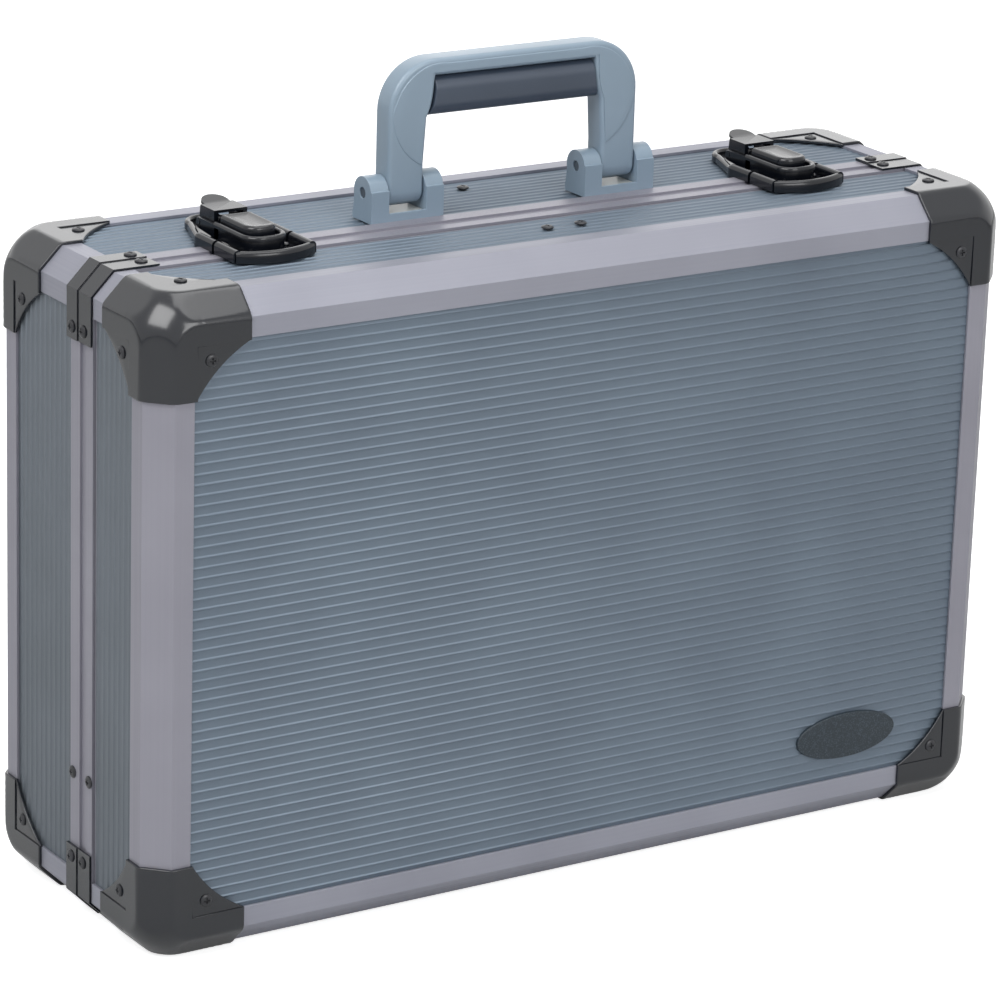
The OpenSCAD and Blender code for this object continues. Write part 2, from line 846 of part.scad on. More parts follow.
module base_cap_top_right() {
    color(cap_color) in_case() at_corner(true, true, true) corner_cap();
}

module base_cap_bottom_left() {
    color(cap_color) in_case() at_corner(false, false, true) corner_cap();
}

module base_cap_bottom_right() {
    color(cap_color) in_case() at_corner(true, false, true) corner_cap();
}

// Cap screws on every wall, between two walls' frames
module cap_screws(across) {
    seat = rail_wall + cap_plate;
    length = seat + board - 0.5;
    on_top() placed(cap_points(half_w, across), seat) screw(length);
    on_bottom() placed(cap_points(half_w, across), seat) flat_screw(length);
    on_left() placed(cap_points(half_h, across), seat) screw(length);
    on_right() placed(cap_points(half_h, across), seat) screw(length);
}

module main_wall_screws() {
    seat = rail_wall + cap_plate;
    placed(concat(cap_points(half_w, screw_in), cap_points(half_w, case_h - screw_in)), seat)
        screw(seat + board - 0.5);
}

module placed(points, height) {
    for (p = points)
        translate([p[0], p[1], height]) children();
}

module lid_screws() {
    color(steel_color) in_case() {
        cap_screws(screw_in);
        on_front() main_wall_screws();
        on_top() placed(lid_top_screws, rib_h) screw(board);
        on_top() placed(strike_rivets, rail_wall + plate_t) rivet(plate_t + rail_wall + board - 0.5);
        on_bottom() placed(lid_hinge_rivets, leaf_t) rivet(leaf_t + board - 0.5);
        both_sides() translate([-half_w, 0, 0]) track_rivets(shank_r);
    }
}

module base_screws() {
    bracket_seat = rail_wall + bracket_low;
    step_up = bracket_high - bracket_low;
    color(steel_color) in_case() {
        cap_screws(case_d - screw_in);
        on_back() main_wall_screws();
        on_top() placed(base_top_screws, rib_h) screw(board);
        for (row = [0, 1]) {
            seat = bracket_seat + row * step_up;
            strip_seat = rail_wall - (row == 0 ? strip_drop : 0);
            on_top() placed(bracket_points(half_w, row), seat) screw(seat + screw_bite);
            on_bottom() placed(bracket_points(half_w, row), -screw_bite)
                cylinder(r = shank_r, h = seat + screw_bite);
            on_left() placed(bracket_points(half_h, row), seat) screw(seat + screw_bite);
            on_right() placed(bracket_points(half_h, row), seat) screw(seat + screw_bite);
            on_left() placed([side_stay_screws(-1)[row]], strip_seat) screw(lining_in);
            on_right() placed([side_stay_screws(1)[row]], strip_seat) screw(lining_in);
        }
        on_bottom() placed(base_hinge_rivets, leaf_t) rivet(leaf_t + board - 0.5);
        on_top() placed(mount_screws, rail_wall - lining_in - stay_plate)
            mirror([0, 0, 1]) screw(lining_in + mount_bite);
    }
}

// Where the stay's screws pass the side walls, in a side wall's own frame
function side_stay_screws(side) = [for (y = stay_screw_rows) [side * (half_h - stay_z), y]];

module at_badge() {
    translate([half_w - badge_x, rail_wall, badge_z]) rotate([90, 0, 0]) children();
}

// An oval of four arcs: long flat ones above and below, short ones at the ends.
// The end arcs stand proud of the long ones by arc_lap, so that each pair crosses.
module badge_outline(margin, height) {
    half_x = badge_w / 2 + margin;
    half_z = badge_h / 2 + margin;
    end_r = half_z * 0.55;
    reach = half_x - end_r;
    side_r = (reach * reach + half_z * half_z - end_r * end_r) / (2 * (half_z - end_r));
    tangent_x = reach * side_r / (side_r - end_r);
    linear_extrude(height) {
        for (side = [-1, 1])
            translate([side * (reach - arc_lap), 0]) circle(r = end_r + arc_lap);
        intersection() {
            translate([0, half_z - side_r]) circle(r = side_r, $fn = 180);
            translate([0, side_r - half_z]) circle(r = side_r, $fn = 180);
            square([2 * tangent_x, 2 * half_z + cut], center = true);
        }
    }
}

module badge_plate() {
    color(badge_color) in_case() at_badge() badge_outline(0, rail_wall + 0.1);
}

// Section of a seam bracket whose outside stands at a height over the case
module bracket_section(height) {
    polygon(concat(edge_line(-height, bracket_leg), reversed(edge_line(0, bracket_leg))));
}

// L strip round a corner of the case between the seam and the end of the band
module seam_brackets() {
    ridge_at = band_start + 12;
    end_at = band_end + 1.5;
    color(cap_color) in_case()
        for (right = [false, true], top = [false, true])
            at_corner(right, top, false) difference() {
                union() {
                    along_y(band_start, ridge_at) bracket_section(bracket_low);
                    along_y(ridge_at, end_at) bracket_section(bracket_high);
                }
                if (!top) translate([half_w, 0, 0]) seam_relief();
                holes([for (y = bracket_rows) [bracket_screw, y]], -3, cut);
                rotate([0, 90, 0]) holes([for (y = bracket_rows) [-bracket_screw, y]], -3, cut);
            }
}

// Knuckles and leaf of one hinge half; first is the place of its first knuckle
module hinge_half(first, direction) {
    leaf_top = rail_wall;
    gap = knuckle_r + knuckle_clear;
    for (side = [-1, 1])
        translate([side * hinge_x - hinge_len / 2, lid_d, 0]) difference() {
            union() {
                for (i = [first:2:knuckles - 1])
                    translate([i * knuckle_pitch, 0, hinge_z]) rotate([0, 90, 0])
                        cylinder(r = knuckle_r, h = knuckle_pitch - knuckle_gap);
                for (i = [first:2:knuckles - 1])
                    translate([i * knuckle_pitch, direction > 0 ? 0 : -gap - cut, leaf_top - leaf_t])
                        cube([knuckle_pitch - knuckle_gap, gap + cut, leaf_t]);
                translate([0, direction > 0 ? gap : -leaf_reach, leaf_top - leaf_t])
                    cube([hinge_len, leaf_reach - gap, leaf_t]);
            }
            translate([-cut, 0, hinge_z]) rotate([0, 90, 0])
                cylinder(r = hinge_pin_r + pin_fit, h = hinge_len + 2 * cut);
            for (x = [hinge_end, hinge_len / 2, hinge_len - hinge_end])
                translate([x, direction * (leaf_reach - leaf_end), -cut])
                    cylinder(r = hole_r, h = leaf_top + 2 * cut);
        }
}

module lid_hinge_leaves() {
    color(zinc_color) in_case() hinge_half(1, -1);
}

module base_hinge_leaves() {
    color(zinc_color) in_case() hinge_half(0, 1);
}

module hinge_pins() {
    color(zinc_color) in_case()
        for (side = [-1, 1])
            translate([side * hinge_x, lid_d, hinge_z]) rotate([0, 90, 0])
                cylinder(r = hinge_pin_r, h = hinge_len + 0.6, center = true);
}

module on_latch(side) {
    translate([side * latch_x, 0, case_h]) children();
}

// A straight rolled edge on one side of a latch plate
module rolled_edge(from, to, floor_h) {
    for (side = [-1, 1])
        translate([side * (half_plate - roll_w / 2), from, 0]) {
            translate([-roll_w / 2, 0, floor_h]) cube([roll_w, to - from, roll_h - roll_w / 2 - floor_h]);
            translate([0, 0, roll_h - roll_w / 2]) rotate([-90, 0, 0])
                cylinder(r = roll_w / 2, h = to - from);
        }
}

module strike_bow_area(inset) {
    bow_r = (half_plate * half_plate + strike_bow * strike_bow) / (2 * strike_bow);
    translate([0, strike_front - strike_bow + bow_r]) circle(r = bow_r - inset, $fn = 128);
}

module latch_strike() {
    catch_h = 1.7;
    difference() {
        union() {
            translate([0, 0, rib_top]) linear_extrude(plate_t - rib_top) intersection() {
                strike_bow_area(0);
                translate([-half_plate, 0]) square([plate_w, strike_back]);
            }
            linear_extrude(roll_h - 0.6) intersection() {
                difference() {
                    strike_bow_area(0);
                    strike_bow_area(roll_w);
                }
                translate([-half_plate, 0]) square([plate_w, strike_front + 2]);
            }
            rolled_edge(strike_front, strike_back, 0);
            rolled_edge(strike_front, roll_split - 0.15, 0.35);
            translate([-6, claw_front + claw_wall + 0.8, 0]) cube([12, 1.5, catch_h]);
        }
        holes([for (x = [-1, 1]) [x * plate_rivet_x, strike_rivet_row]], -cut, plate_t + cut);
    }
}

module strike_left() {
    color(steel_color) in_case() on_latch(-1) latch_strike();
}

module strike_right() {
    color(steel_color) in_case() on_latch(1) latch_strike();
}

// Plan of the plate's tail, drawn in by a distance
module tail_area(inset) {
    start = tail_start - 0.5 - inset / 10;
    polygon([[half_plate - inset, start], [tail_r - inset, tail_centre], [inset - tail_r, tail_centre],
        [inset - half_plate, start]]);
    translate([0, tail_centre]) circle(r = tail_r - inset);
}

module latch_plate() {
    difference() {
        union() {
            linear_extrude(plate_t) {
                inner = half_plate - roll_w - 0.4;
                polygon([[-inner, plate_front], [inner, plate_front], [inner, roll_split + 0.15],
                    [half_plate, roll_split + 0.15], [half_plate, tail_start], [-half_plate, tail_start],
                    [-half_plate, roll_split + 0.15], [-inner, roll_split + 0.15]]);
                tail_area(0);
            }
            linear_extrude(tail_rim_h) difference() {
                tail_area(0);
                tail_area(tail_rim_w);
            }
            rolled_edge(roll_split + 0.15, tail_start, 0);
            both_sides() along_x(ear_in, ear_out) {
                polygon([[lever_pivot - 5, plate_t / 2], [lever_pivot + 5, plate_t / 2],
                    [lever_pivot + 2.4, lever_pivot_h], [lever_pivot - 2.4, lever_pivot_h]]);
                translate([lever_pivot, lever_pivot_h]) circle(r = lever_eye);
            }
        }
        holes([for (x = [-1, 1], y = plate_rivet_rows) [x * plate_rivet_x, y]], -cut, plate_t + cut);
        latch_bore(lever_pivot, lever_pivot_h);
    }
}

module latch_bore(y, z) {
    translate([0, y, z]) rotate([0, 90, 0]) cylinder(r = latch_pin_r + pin_fit, h = plate_w, center = true);
}

module latch_plate_left() {
    color(steel_color) in_case() on_latch(-1) latch_plate();
}

module latch_plate_right() {
    color(steel_color) in_case() on_latch(1) latch_plate();
}

module latch_pins() {
    color(zinc_color) in_case() {
        for (side = [-1, 1])
            on_latch(side) translate([0, lever_pivot, lever_pivot_h]) rotate([0, 90, 0])
                cylinder(r = latch_pin_r, h = 2 * lever_half, center = true);
        on_top() placed(plate_rivets, rail_wall + plate_t) rivet(plate_t + rail_wall + board - 1);
    }
}

// Lever: two side plates joined by a web, a thumb tab behind and the claw's pin
module latch_lever() {
    web_t = 1.3;
    difference() {
        union() {
            both_sides() along_x(lever_in, lever_half) {
                translate([lever_pivot, lever_pivot_h]) circle(r = lever_eye);
                translate([claw_pivot, claw_pivot_h]) circle(r = lever_eye);
                polygon([[lever_pivot - lever_eye, lever_pivot_h], [web_front, web_top],
                    [web_back, web_top], [claw_pivot + lever_eye, claw_pivot_h],
                    [claw_pivot - lever_eye, claw_pivot_h]]);
            }
            translate([-lever_half, web_front, web_top - web_t])
                cube([2 * lever_half, web_back - web_front, web_t]);
            translate([0, web_back - 0.6, web_top - web_t]) rotate([tab_tilt, 0, 0])
                linear_extrude(web_t) {
                    translate([0, tab_len - tab_r]) circle(r = tab_r);
                    translate([-tab_r, 0]) square([2 * tab_r, tab_len - tab_r]);
                }
        }
        latch_bore(lever_pivot, lever_pivot_h);
    }
    translate([0, claw_pivot, claw_pivot_h]) rotate([0, 90, 0])
        cylinder(r = latch_pin_r, h = claw_w + 0.6, center = true);
}

module latch_lever_left() {
    color(steel_color) in_case() on_latch(-1) latch_lever();
}

module latch_lever_right() {
    color(steel_color) in_case() on_latch(1) latch_lever();
}

// Plan of the claw: straight sides and a rounded front, inset from its outside
module claw_plan(half, front, corner) {
    for (side = [-1, 1])
        translate([side * (half - corner), front + corner]) circle(r = corner);
    translate([-half + corner, front]) square([2 * (half - corner), corner + cut]);
    translate([-half, front + corner]) square([2 * half, claw_back_edge - front - corner]);
}

module latch_claw() {
    corner = 8;
    skirt_h = 2;
    top_t = 1.4;
    boss_r = 2.6;
    deck_half = deck_w / 2;
    deck_front = claw_front + 5.5;
    deck_rim = 1.2;
    dish_r = 24;
    dish_depth = 1.1;
    difference() {
        union() {
            translate([0, 0, claw_h - top_t]) linear_extrude(top_t)
                claw_plan(claw_half, claw_front, corner);
            translate([0, 0, skirt_h]) linear_extrude(claw_h + 0.6 - skirt_h) difference() {
                claw_plan(claw_half, claw_front, corner);
                claw_plan(claw_half - claw_wall, claw_front + claw_wall, corner - claw_wall);
            }
            translate([0, 0, claw_h - top_t]) linear_extrude(deck_h - claw_h + top_t)
                claw_plan(deck_half, deck_front, corner - 1.6);
            both_sides() along_x(claw_bore_in, claw_half) {
                polygon([[claw_front + corner, skirt_h], [claw_front + corner, claw_h],
                    [claw_back_edge, claw_h], [claw_pivot, claw_pivot_h + boss_r],
                    [claw_pivot, claw_pivot_h - boss_r], [claw_back_edge + 4, skirt_h]]);
                translate([claw_pivot, claw_pivot_h]) circle(r = boss_r);
            }
        }
        // hollow under the deck, and the shallow thumb dish in it
        translate([0, 0, skirt_h]) linear_extrude(deck_h - top_t - dish_depth - skirt_h)
            claw_plan(deck_half - top_t, deck_front + top_t, corner - 3);
        translate([0, (deck_front + claw_back_edge) / 2, deck_h + dish_r - dish_depth])
            sphere(r = dish_r, $fn = 96);
        translate([0, 0, deck_h - 0.5]) linear_extrude(cut)
            intersection() {
                claw_plan(deck_half - deck_rim, deck_front + deck_rim, corner - 2.8);
                translate([-deck_half, 0]) square([deck_w, claw_back_edge - deck_rim]);
            }
        latch_bore(claw_pivot, claw_pivot_h);
    }
}

module latch_claw_left() {
    color(steel_color) in_case() on_latch(-1) latch_claw();
}

module latch_claw_right() {
    color(steel_color) in_case() on_latch(1) latch_claw();
}

module on_mount(side) {
    translate([side * arm_x, 0, case_h]) children();
}

// Handle mount: two domed cheeks on a foot with a low sill at the front and back
module handle_mount() {
    front = pivot_d - mount_t / 2;
    back = front + mount_t;
    difference() {
        union() {
            both_sides() along_x(slot_w / 2, mount_w / 2) {
                polygon([[front, rib_top], [front, ledge_h], [front + 3, ledge_h], [pivot_d, pivot_h + 2],
                    [back - 1.5, pivot_h], [back, rib_top]]);
                translate([pivot_d, pivot_h]) circle(r = cheek_r);
            }
            translate([-mount_w / 2, front, rib_top]) cube([mount_w, mount_t, mount_foot - rib_top]);
            translate([-mount_w / 2, front, 0]) cube([mount_w, sill_t, sill_h]);
            translate([-mount_w / 2, back - sill_t, 0]) cube([mount_w, sill_t, sill_h]);
        }
        translate([0, pivot_d, pivot_h]) rotate([0, 90, 0])
            cylinder(r = handle_pin_r + pin_fit, h = mount_w + 2, center = true);
        for (side = [-1, 1])
            translate([side * (slot_w + cheek_w) / 2, pivot_d, -cut])
                cylinder(r = hole_r, h = mount_bite + cut);
    }
}

module handle_mount_left() {
    color(handle_color) in_case() on_mount(-1) handle_mount();
}

module handle_mount_right() {
    color(handle_color) in_case() on_mount(1) handle_mount();
}

module handle_pins() {
    color(zinc_color) in_case()
        for (side = [-1, 1])
            on_mount(side) translate([0, pivot_d, pivot_h]) rotate([0, 90, 0])
                cylinder(r = handle_pin_r, h = mount_w - 1, center = true);
}

module handle_stops() {
    side_gap = 0.3;
    end_gap = 0.3;
    color(nylon_color) in_case()
        for (side = [-1, 1])
            on_mount(side)
                translate([side_gap - slot_w / 2, pivot_d - mount_t / 2 + sill_t + end_gap, mount_foot])
                    cube([slot_w - 2 * side_gap, mount_t - 2 * (sill_t + end_gap), stop_t]);
}

module handle_backing_plates() {
    color(zinc_color) in_case() difference() {
        for (side = [-1, 1])
            translate([side * arm_x - mount_w / 2, pivot_d - mount_t / 2, case_h - lining_in - stay_plate])
                cube([mount_w, mount_t, stay_plate]);
        on_top() holes(mount_screws, -2 * lining_in, 0);
    }
}

// Front view of the handle above its pivots, drawn in X and Z
module arch_area() {
    outer = arm_x + arm_w / 2;
    inner = arm_x - arm_w / 2;
    difference() {
        union() {
            translate([-outer, case_h + pivot_h]) square([2 * outer, handle_h - pivot_h - handle_corner]);
            translate([-outer + handle_corner, case_h + pivot_h])
                square([2 * (outer - handle_corner), handle_h - pivot_h]);
            for (side = [-1, 1])
                translate([side * (outer - handle_corner), arch_top - handle_corner])
                    circle(r = handle_corner, $fn = 96);
        }
        polygon([[-inner, case_h], [inner, case_h], [inner, case_h + pivot_h + 12],
            [grip_top_x + grip_flare, grip_bottom], [grip_top_x, pocket_top], [-grip_top_x, pocket_top],
            [-grip_top_x - grip_flare, grip_bottom], [-inner, case_h + pivot_h + 12]]);
    }
}

// The bar through the grip, grown by a gap
module grip_core(gap) {
    reach = grip_top_x + 2;
    translate([-reach, pivot_d - core_t / 2 - gap, pocket_top - core_h - gap])
        cube([2 * reach, core_t + 2 * gap, core_h + 1 + gap]);
}

module handle_arch() {
    color(handle_color) in_case() difference() {
        union() {
            along_y(pivot_d - arm_t / 2, pivot_d + arm_t / 2) arch_area();
            for (side = [-1, 1])
                on_mount(side) translate([0, pivot_d, pivot_h]) rotate([0, 90, 0])
                    cylinder(r = arm_t / 2, h = arm_w, center = true);
            grip_core(0);
        }
        for (side = [-1, 1])
            on_mount(side) translate([0, pivot_d, pivot_h]) rotate([0, 90, 0])
                cylinder(r = handle_pin_r + pin_fit, h = arm_w + 2, center = true);
    }
}

module handle_grip() {
    proud = 0.3;
    half = grip_top_x - grip_gap;
    color(grip_color) in_case() difference() {
        along_y(pivot_d - arm_t / 2 - proud, pivot_d + arm_t / 2 + proud)
            polygon([[-half, pocket_top - grip_gap], [half, pocket_top - grip_gap],
                [half + grip_flare, grip_bottom], [-half - grip_flare, grip_bottom]]);
        grip_core(0.02);
    }
}

// Side view frame of the left wall's inside: X across the depth, Y up, Z into the case
module on_left_inside(depth) {
    translate([-half_w + depth, 0, 0]) rotate([90, 0, 90]) children();
}

// A bar with round ends between two points. Its sides lie arc_lap inside the end
// circles, so that they cross the circles and don't just touch them.
module bar_area(start, end, half) {
    run = end - start;
    side = half - arc_lap;
    translate(start) circle(r = half);
    translate(end) circle(r = half);
    translate(start) rotate(atan2(run[1], run[0])) translate([0, -side]) square([norm(run), 2 * side]);
}

module stay_brackets() {
    head_t = 0.8;
    head_lip = 1.6;
    plate_h = 16;
    plate_len = 21;
    plate_from = stay_pivot[0] - 9.5;
    plate_low = stay_z - plate_h / 2;
    foot_back = step_start + 0.2;
    stud_len = stay_plate + stay_gap + stay_t + stud_play;
    color(zinc_color) in_case() both_sides() difference() {
        union() {
            on_left_inside(lining_in) translate([plate_from, plate_low])
                linear_extrude(stay_plate) square([plate_len, plate_h]);
            on_left_inside(tongue_in) translate([plate_from, plate_low])
                linear_extrude(lining_in - tongue_in + 0.2) square([foot_back - plate_from, plate_h]);
            on_left_inside(lining_in) translate(stay_pivot) {
                cylinder(r = stud_r, h = stud_len + head_t);
                translate([0, 0, stud_len]) cylinder(r = stud_r + head_lip, h = head_t);
            }
        }
        translate([-half_w, 0, stay_z]) rotate([0, 90, 0])
            holes([for (y = stay_screw_rows) [0, y]], 0, arm_in - stud_play);
    }
}

module stay_arm() {
    stud = stay_pivot + stay_len * [cos(stay_rest), sin(stay_rest)];
    difference() {
        union() {
            on_left_inside(arm_in) linear_extrude(stay_t) bar_area(stay_pivot, stud, stay_w / 2);
            on_left_inside(lining_in + stud_play) translate(stud)
                cylinder(r = stud_r, h = arm_in - lining_in);
        }
        on_left_inside(lining_in) translate(stay_pivot)
            cylinder(r = stud_r + pin_fit, h = 3 * stay_gap + stay_plate + stay_t);
    }
}

module stay_arm_left() {
    color(zinc_color) in_case() stay_arm();
}

module stay_arm_right() {
    color(zinc_color) in_case() mirror([1, 0, 0]) stay_arm();
}

// The sliding stud's path on the lid, widened to both sides
module track_area(half) {
    bar_area(stud_at(0), stud_at(lid_open), half);
}

// Where the track is riveted to the lid's lining
function track_rivet_points() = [stud_at(0) + [-10, 3], stud_at(lid_open) + [10, 2]];

module track_rivets(radius) {
    for (p = track_rivet_points())
        translate([lip_in, p[0], p[1]]) rotate([0, 90, 0])
            cylinder(r = radius, h = lining_in + stay_plate - lip_in);
}

module stay_tracks() {
    color(zinc_color) in_case() both_sides() difference() {
        on_left_inside(lining_in) linear_extrude(stay_plate) {
            track_area(track_half);
            for (p = track_rivet_points())
                translate(p) circle(r = stay_w / 2 + 1);
        }
        on_left_inside(lining_in - cut) linear_extrude(stay_plate + 2 * cut) track_area(stud_r + slot_room);
        translate([-half_w, 0, 0]) track_rivets(hole_r);
    }
}

lid_front_panel();
lid_top_panel();
lid_bottom_panel();
lid_left_panel();
lid_right_panel();
lid_edge_top();
lid_edge_bottom();
lid_edge_left();
lid_edge_right();
lid_corner_rails();
lid_rim();
lid_lining();
lid_cap_top_left();
lid_cap_top_right();
lid_cap_bottom_left();
lid_cap_bottom_right();
lid_screws();
badge_plate();
strike_left();
strike_right();
lid_hinge_leaves();
stay_tracks();
base_back_panel();
base_top_panel();
base_bottom_panel();
base_left_panel();
base_right_panel();
base_edge_top();
base_edge_bottom();
base_edge_left();
base_edge_right();
base_corner_rails();
base_band();
base_lining();
base_cap_top_left();
base_cap_top_right();
base_cap_bottom_left();
base_cap_bottom_right();
seam_brackets();
base_screws();
base_hinge_leaves();
hinge_pins();
latch_plate_left();
latch_plate_right();
latch_pins();
handle_mount_left();
handle_mount_right();
handle_pins();
handle_stops();
handle_backing_plates();
stay_brackets();
handle_arch();
handle_grip();
latch_lever_left();
latch_lever_right();
latch_claw_left();
latch_claw_right();
stay_arm_left();
stay_arm_right();
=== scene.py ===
"""Dresses the hard tool case: ribbed panels, moulded caps and handle, rolled latches, and every finish.

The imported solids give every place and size. Lengths in the classes below are in millimetres,
and everything in the scene is in metres, in the frame of the solids: +X to the right of the lid,
+Y from the lid to the back, +Z up.
"""
import json
import logging
import math
from dataclasses import dataclass
from enum import Enum
from typing import Dict, List, Optional, Protocol, Sequence, Tuple

import bmesh
import bpy
import numpy as np
from mathutils import Matrix, Vector


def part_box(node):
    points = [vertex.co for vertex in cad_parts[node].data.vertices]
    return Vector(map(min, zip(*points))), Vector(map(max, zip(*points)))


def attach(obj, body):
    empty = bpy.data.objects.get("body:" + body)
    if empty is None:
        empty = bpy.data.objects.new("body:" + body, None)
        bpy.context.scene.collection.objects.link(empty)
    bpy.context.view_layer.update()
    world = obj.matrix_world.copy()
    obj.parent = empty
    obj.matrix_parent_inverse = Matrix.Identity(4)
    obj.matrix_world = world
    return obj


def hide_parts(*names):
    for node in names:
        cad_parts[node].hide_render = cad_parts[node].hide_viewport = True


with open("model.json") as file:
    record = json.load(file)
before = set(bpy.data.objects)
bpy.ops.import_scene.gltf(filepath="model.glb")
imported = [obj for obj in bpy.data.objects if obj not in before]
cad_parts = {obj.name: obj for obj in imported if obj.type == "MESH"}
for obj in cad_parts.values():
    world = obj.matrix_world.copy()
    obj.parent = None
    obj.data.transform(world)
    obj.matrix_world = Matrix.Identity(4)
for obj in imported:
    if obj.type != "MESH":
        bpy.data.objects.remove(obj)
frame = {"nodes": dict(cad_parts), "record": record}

MM = 0.001
# the range that most of a noise's values lie in
NOISE_LOW = 0.3
NOISE_HIGH = 0.7
# points of a new mesh, and of a solid's copy, that are closer than this become one
MERGED_M = 1e-6
CAD_MERGED_M = 2e-6
# in a solid's copy, faces that meet at less than the first angle are one plane, and edges sharper than
# the second one are rounded
ONE_PLANE_DEG = 0.4
SHARP_DEG = 28.0
# points over the round top of a ridge, and round a corner of a block
RIDGE_STEPS = 11
CORNER_STEPS = 9
# a block's corners never get sharper than this
LEAST_RADIUS_MM = 0.05
# turns a direction (x, y) in plan into the one at its side, (y, -x)
TURN_RIGHT = np.array([[0.0, -1.0], [1.0, 0.0]])
LOG = logging.getLogger("tool_case")
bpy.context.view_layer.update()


class Run(Enum):
    """The direction in which the lines of an extruded or rolled metal run."""

    WIDTH = 0
    DEPTH = 1
    HEIGHT = 2


# Colour and shader helpers


def linear(code: str) -> Tuple[float, float, float, float]:
    """Turns an sRGB hex colour into linear RGBA.

    Args:
        code: the colour as "#rrggbb".

    Returns:
        The linear colour with full opacity.
    """
    parts = [int(code[i:i + 2], 16) / 255 for i in (1, 3, 5)]
    red, green, blue = (c / 12.92 if c <= 0.04045 else ((c + 0.055) / 1.055) ** 2.4 for c in parts)
    return (red, green, blue, 1.0)


def add_node(tree: bpy.types.NodeTree, kind: str, settings: Optional[dict] = None,
             inputs: Optional[dict] = None, links: Optional[dict] = None) -> bpy.types.Node:
    """Adds a node with its settings and links.

    Args:
        tree: the node tree.
        kind: the node's type name without "ShaderNode".
        settings: attributes of the node.
        inputs: values for its input sockets, by name or number.
        links: output sockets that feed its input sockets, by name or number.

    Returns:
        The new node.
    """
    node = tree.nodes.new("ShaderNode" + kind)
    for key, value in (settings or {}).items():
        setattr(node, key, value)
    for key, value in (inputs or {}).items():
        node.inputs[key].default_value = value
    for key, socket in (links or {}).items():
        tree.links.new(socket, node.inputs[key])
    return node


class Surface:
    """A new material round one Principled shader, and the nodes that feed it."""

    def __init__(self, name: str) -> None:
        """Makes the material with its shader and its output."""
        self.material = bpy.data.materials.new(name)
        self.material.use_nodes = True
        self.tree = self.material.node_tree
        self.tree.nodes.clear()
        self.shader = add_node(self.tree, "BsdfPrincipled")
        self.output = add_node(self.tree, "OutputMaterial", links={"Surface": self.shader.outputs["BSDF"]})

    def noise(self, size_mm: float, detail: float = 2.0, run: Optional[Run] = None,
              length_mm: float = 0.0) -> bpy.types.NodeSocket:
        """A noise in the object's own coordinates.

        Args:
            size_mm: the grain's size.
            detail: octaves of finer noise.
            run: the axis along which the grain is drawn out, if any.
            length_mm: its size along that axis.

        Returns:
            The noise's socket, centred on 0.5.
        """
        sizes = [size_mm] * 3
        if run is not None:
            sizes[run.value] = length_mm
        point = add_node(self.tree, "TexCoord").outputs["Object"]
        scale = tuple(1.0 / (size * MM) for size in sizes)
        mapped = add_node(self.tree, "Mapping", inputs={"Scale": scale}, links={"Vector": point})
        noise = add_node(self.tree, "TexNoise", inputs={"Scale": 1.0, "Detail": detail},
                         links={"Vector": mapped.outputs["Vector"]})
        return noise.outputs["Fac"]

    def values(self, inputs: dict) -> None:
        """Sets the shader's inputs by name."""
        for name, value in inputs.items():
            self.shader.inputs[name].default_value = value

    def spread(self, noise: bpy.types.NodeSocket, limits: Dict[str, float]) -> bpy.types.NodeSocket:
        """A noise's middle range, spread over the limits that a Map Range node takes."""
        inputs = {"From Min": NOISE_LOW, "From Max": NOISE_HIGH, **limits}
        return add_node(self.tree, "MapRange", inputs=inputs, links={"Value": noise}).outputs["Result"]

    def tint(self, noise: bpy.types.NodeSocket, dark: str, light: str, low: float = NOISE_LOW) -> None:
        """Colours the shader: dark where the noise is at or below its low end, light at its high end."""
        ramp = add_node(self.tree, "ValToRGB", links={"Fac": noise})
        for stop, at, code in zip(ramp.color_ramp.elements, (low, NOISE_HIGH), (dark, light)):
            stop.position = at
            stop.color = linear(code)
        self.tree.links.new(ramp.outputs["Color"], self.shader.inputs["Base Color"])

    def roughen(self, noise: bpy.types.NodeSocket, first: float, last: float) -> None:
        """Moves the shader's roughness from the first value to the last as a noise grows."""
        rough = self.spread(noise, {"To Min": first, "To Max": last})
        self.tree.links.new(rough, self.shader.inputs["Roughness"])

    def bump(self, noise: bpy.types.NodeSocket, depth_mm: float, strength: float) -> None:
        """Bends the shader's normal over a noise of a given depth, as far as the strength lets it show."""
        bump = add_node(self.tree, "Bump", inputs={"Strength": strength, "Distance": depth_mm * MM},
                        links={"Height": noise})
        self.tree.links.new(bump.outputs["Normal"], self.shader.inputs["Normal"])


# Finishes


@dataclass(frozen=True)
class Finish:
    """What a real surface shows: two close colours, the roughness of its shine, and a relief of its own."""

    name: str
    dark: str
    light: str
    roughness: float

    def material(self) -> bpy.types.Material:
        """The finish as a material."""
        surface = Surface(self.name)
        self.shade(surface)
        return surface.material

    def shade(self, surface: Surface) -> None:
        """Feeds the surface's shader."""
        raise NotImplementedError


@dataclass(frozen=True)
class AnodisedAluminium(Finish):
    """Extruded or rolled aluminium, anodised: satin, with faint lines along the way it was drawn."""

    run: Run
    metallic: float = 0.35
    line_mm: float = 0.9
    line_length_mm: float = 260.0
    line_depth_mm: float = 0.012
    cloud_mm: float = 70.0

    def shade(self, surface: Surface) -> None:
        """Drawn lines in the bump and the roughness, which stretch each glint across them."""
        # the lines are drawn about three times as coarse as the real ones, to show at all
        lines = surface.noise(self.line_mm, detail=3.0, run=self.run, length_mm=self.line_length_mm)
        surface.tint(surface.noise(self.cloud_mm), self.dark, self.light)
        surface.roughen(lines, self.roughness - 0.06, self.roughness + 0.08)
        # the matt oxide layer hides much of the metal's mirror
        surface.values({"Metallic": self.metallic})
        surface.bump(lines, self.line_depth_mm, strength=0.5)


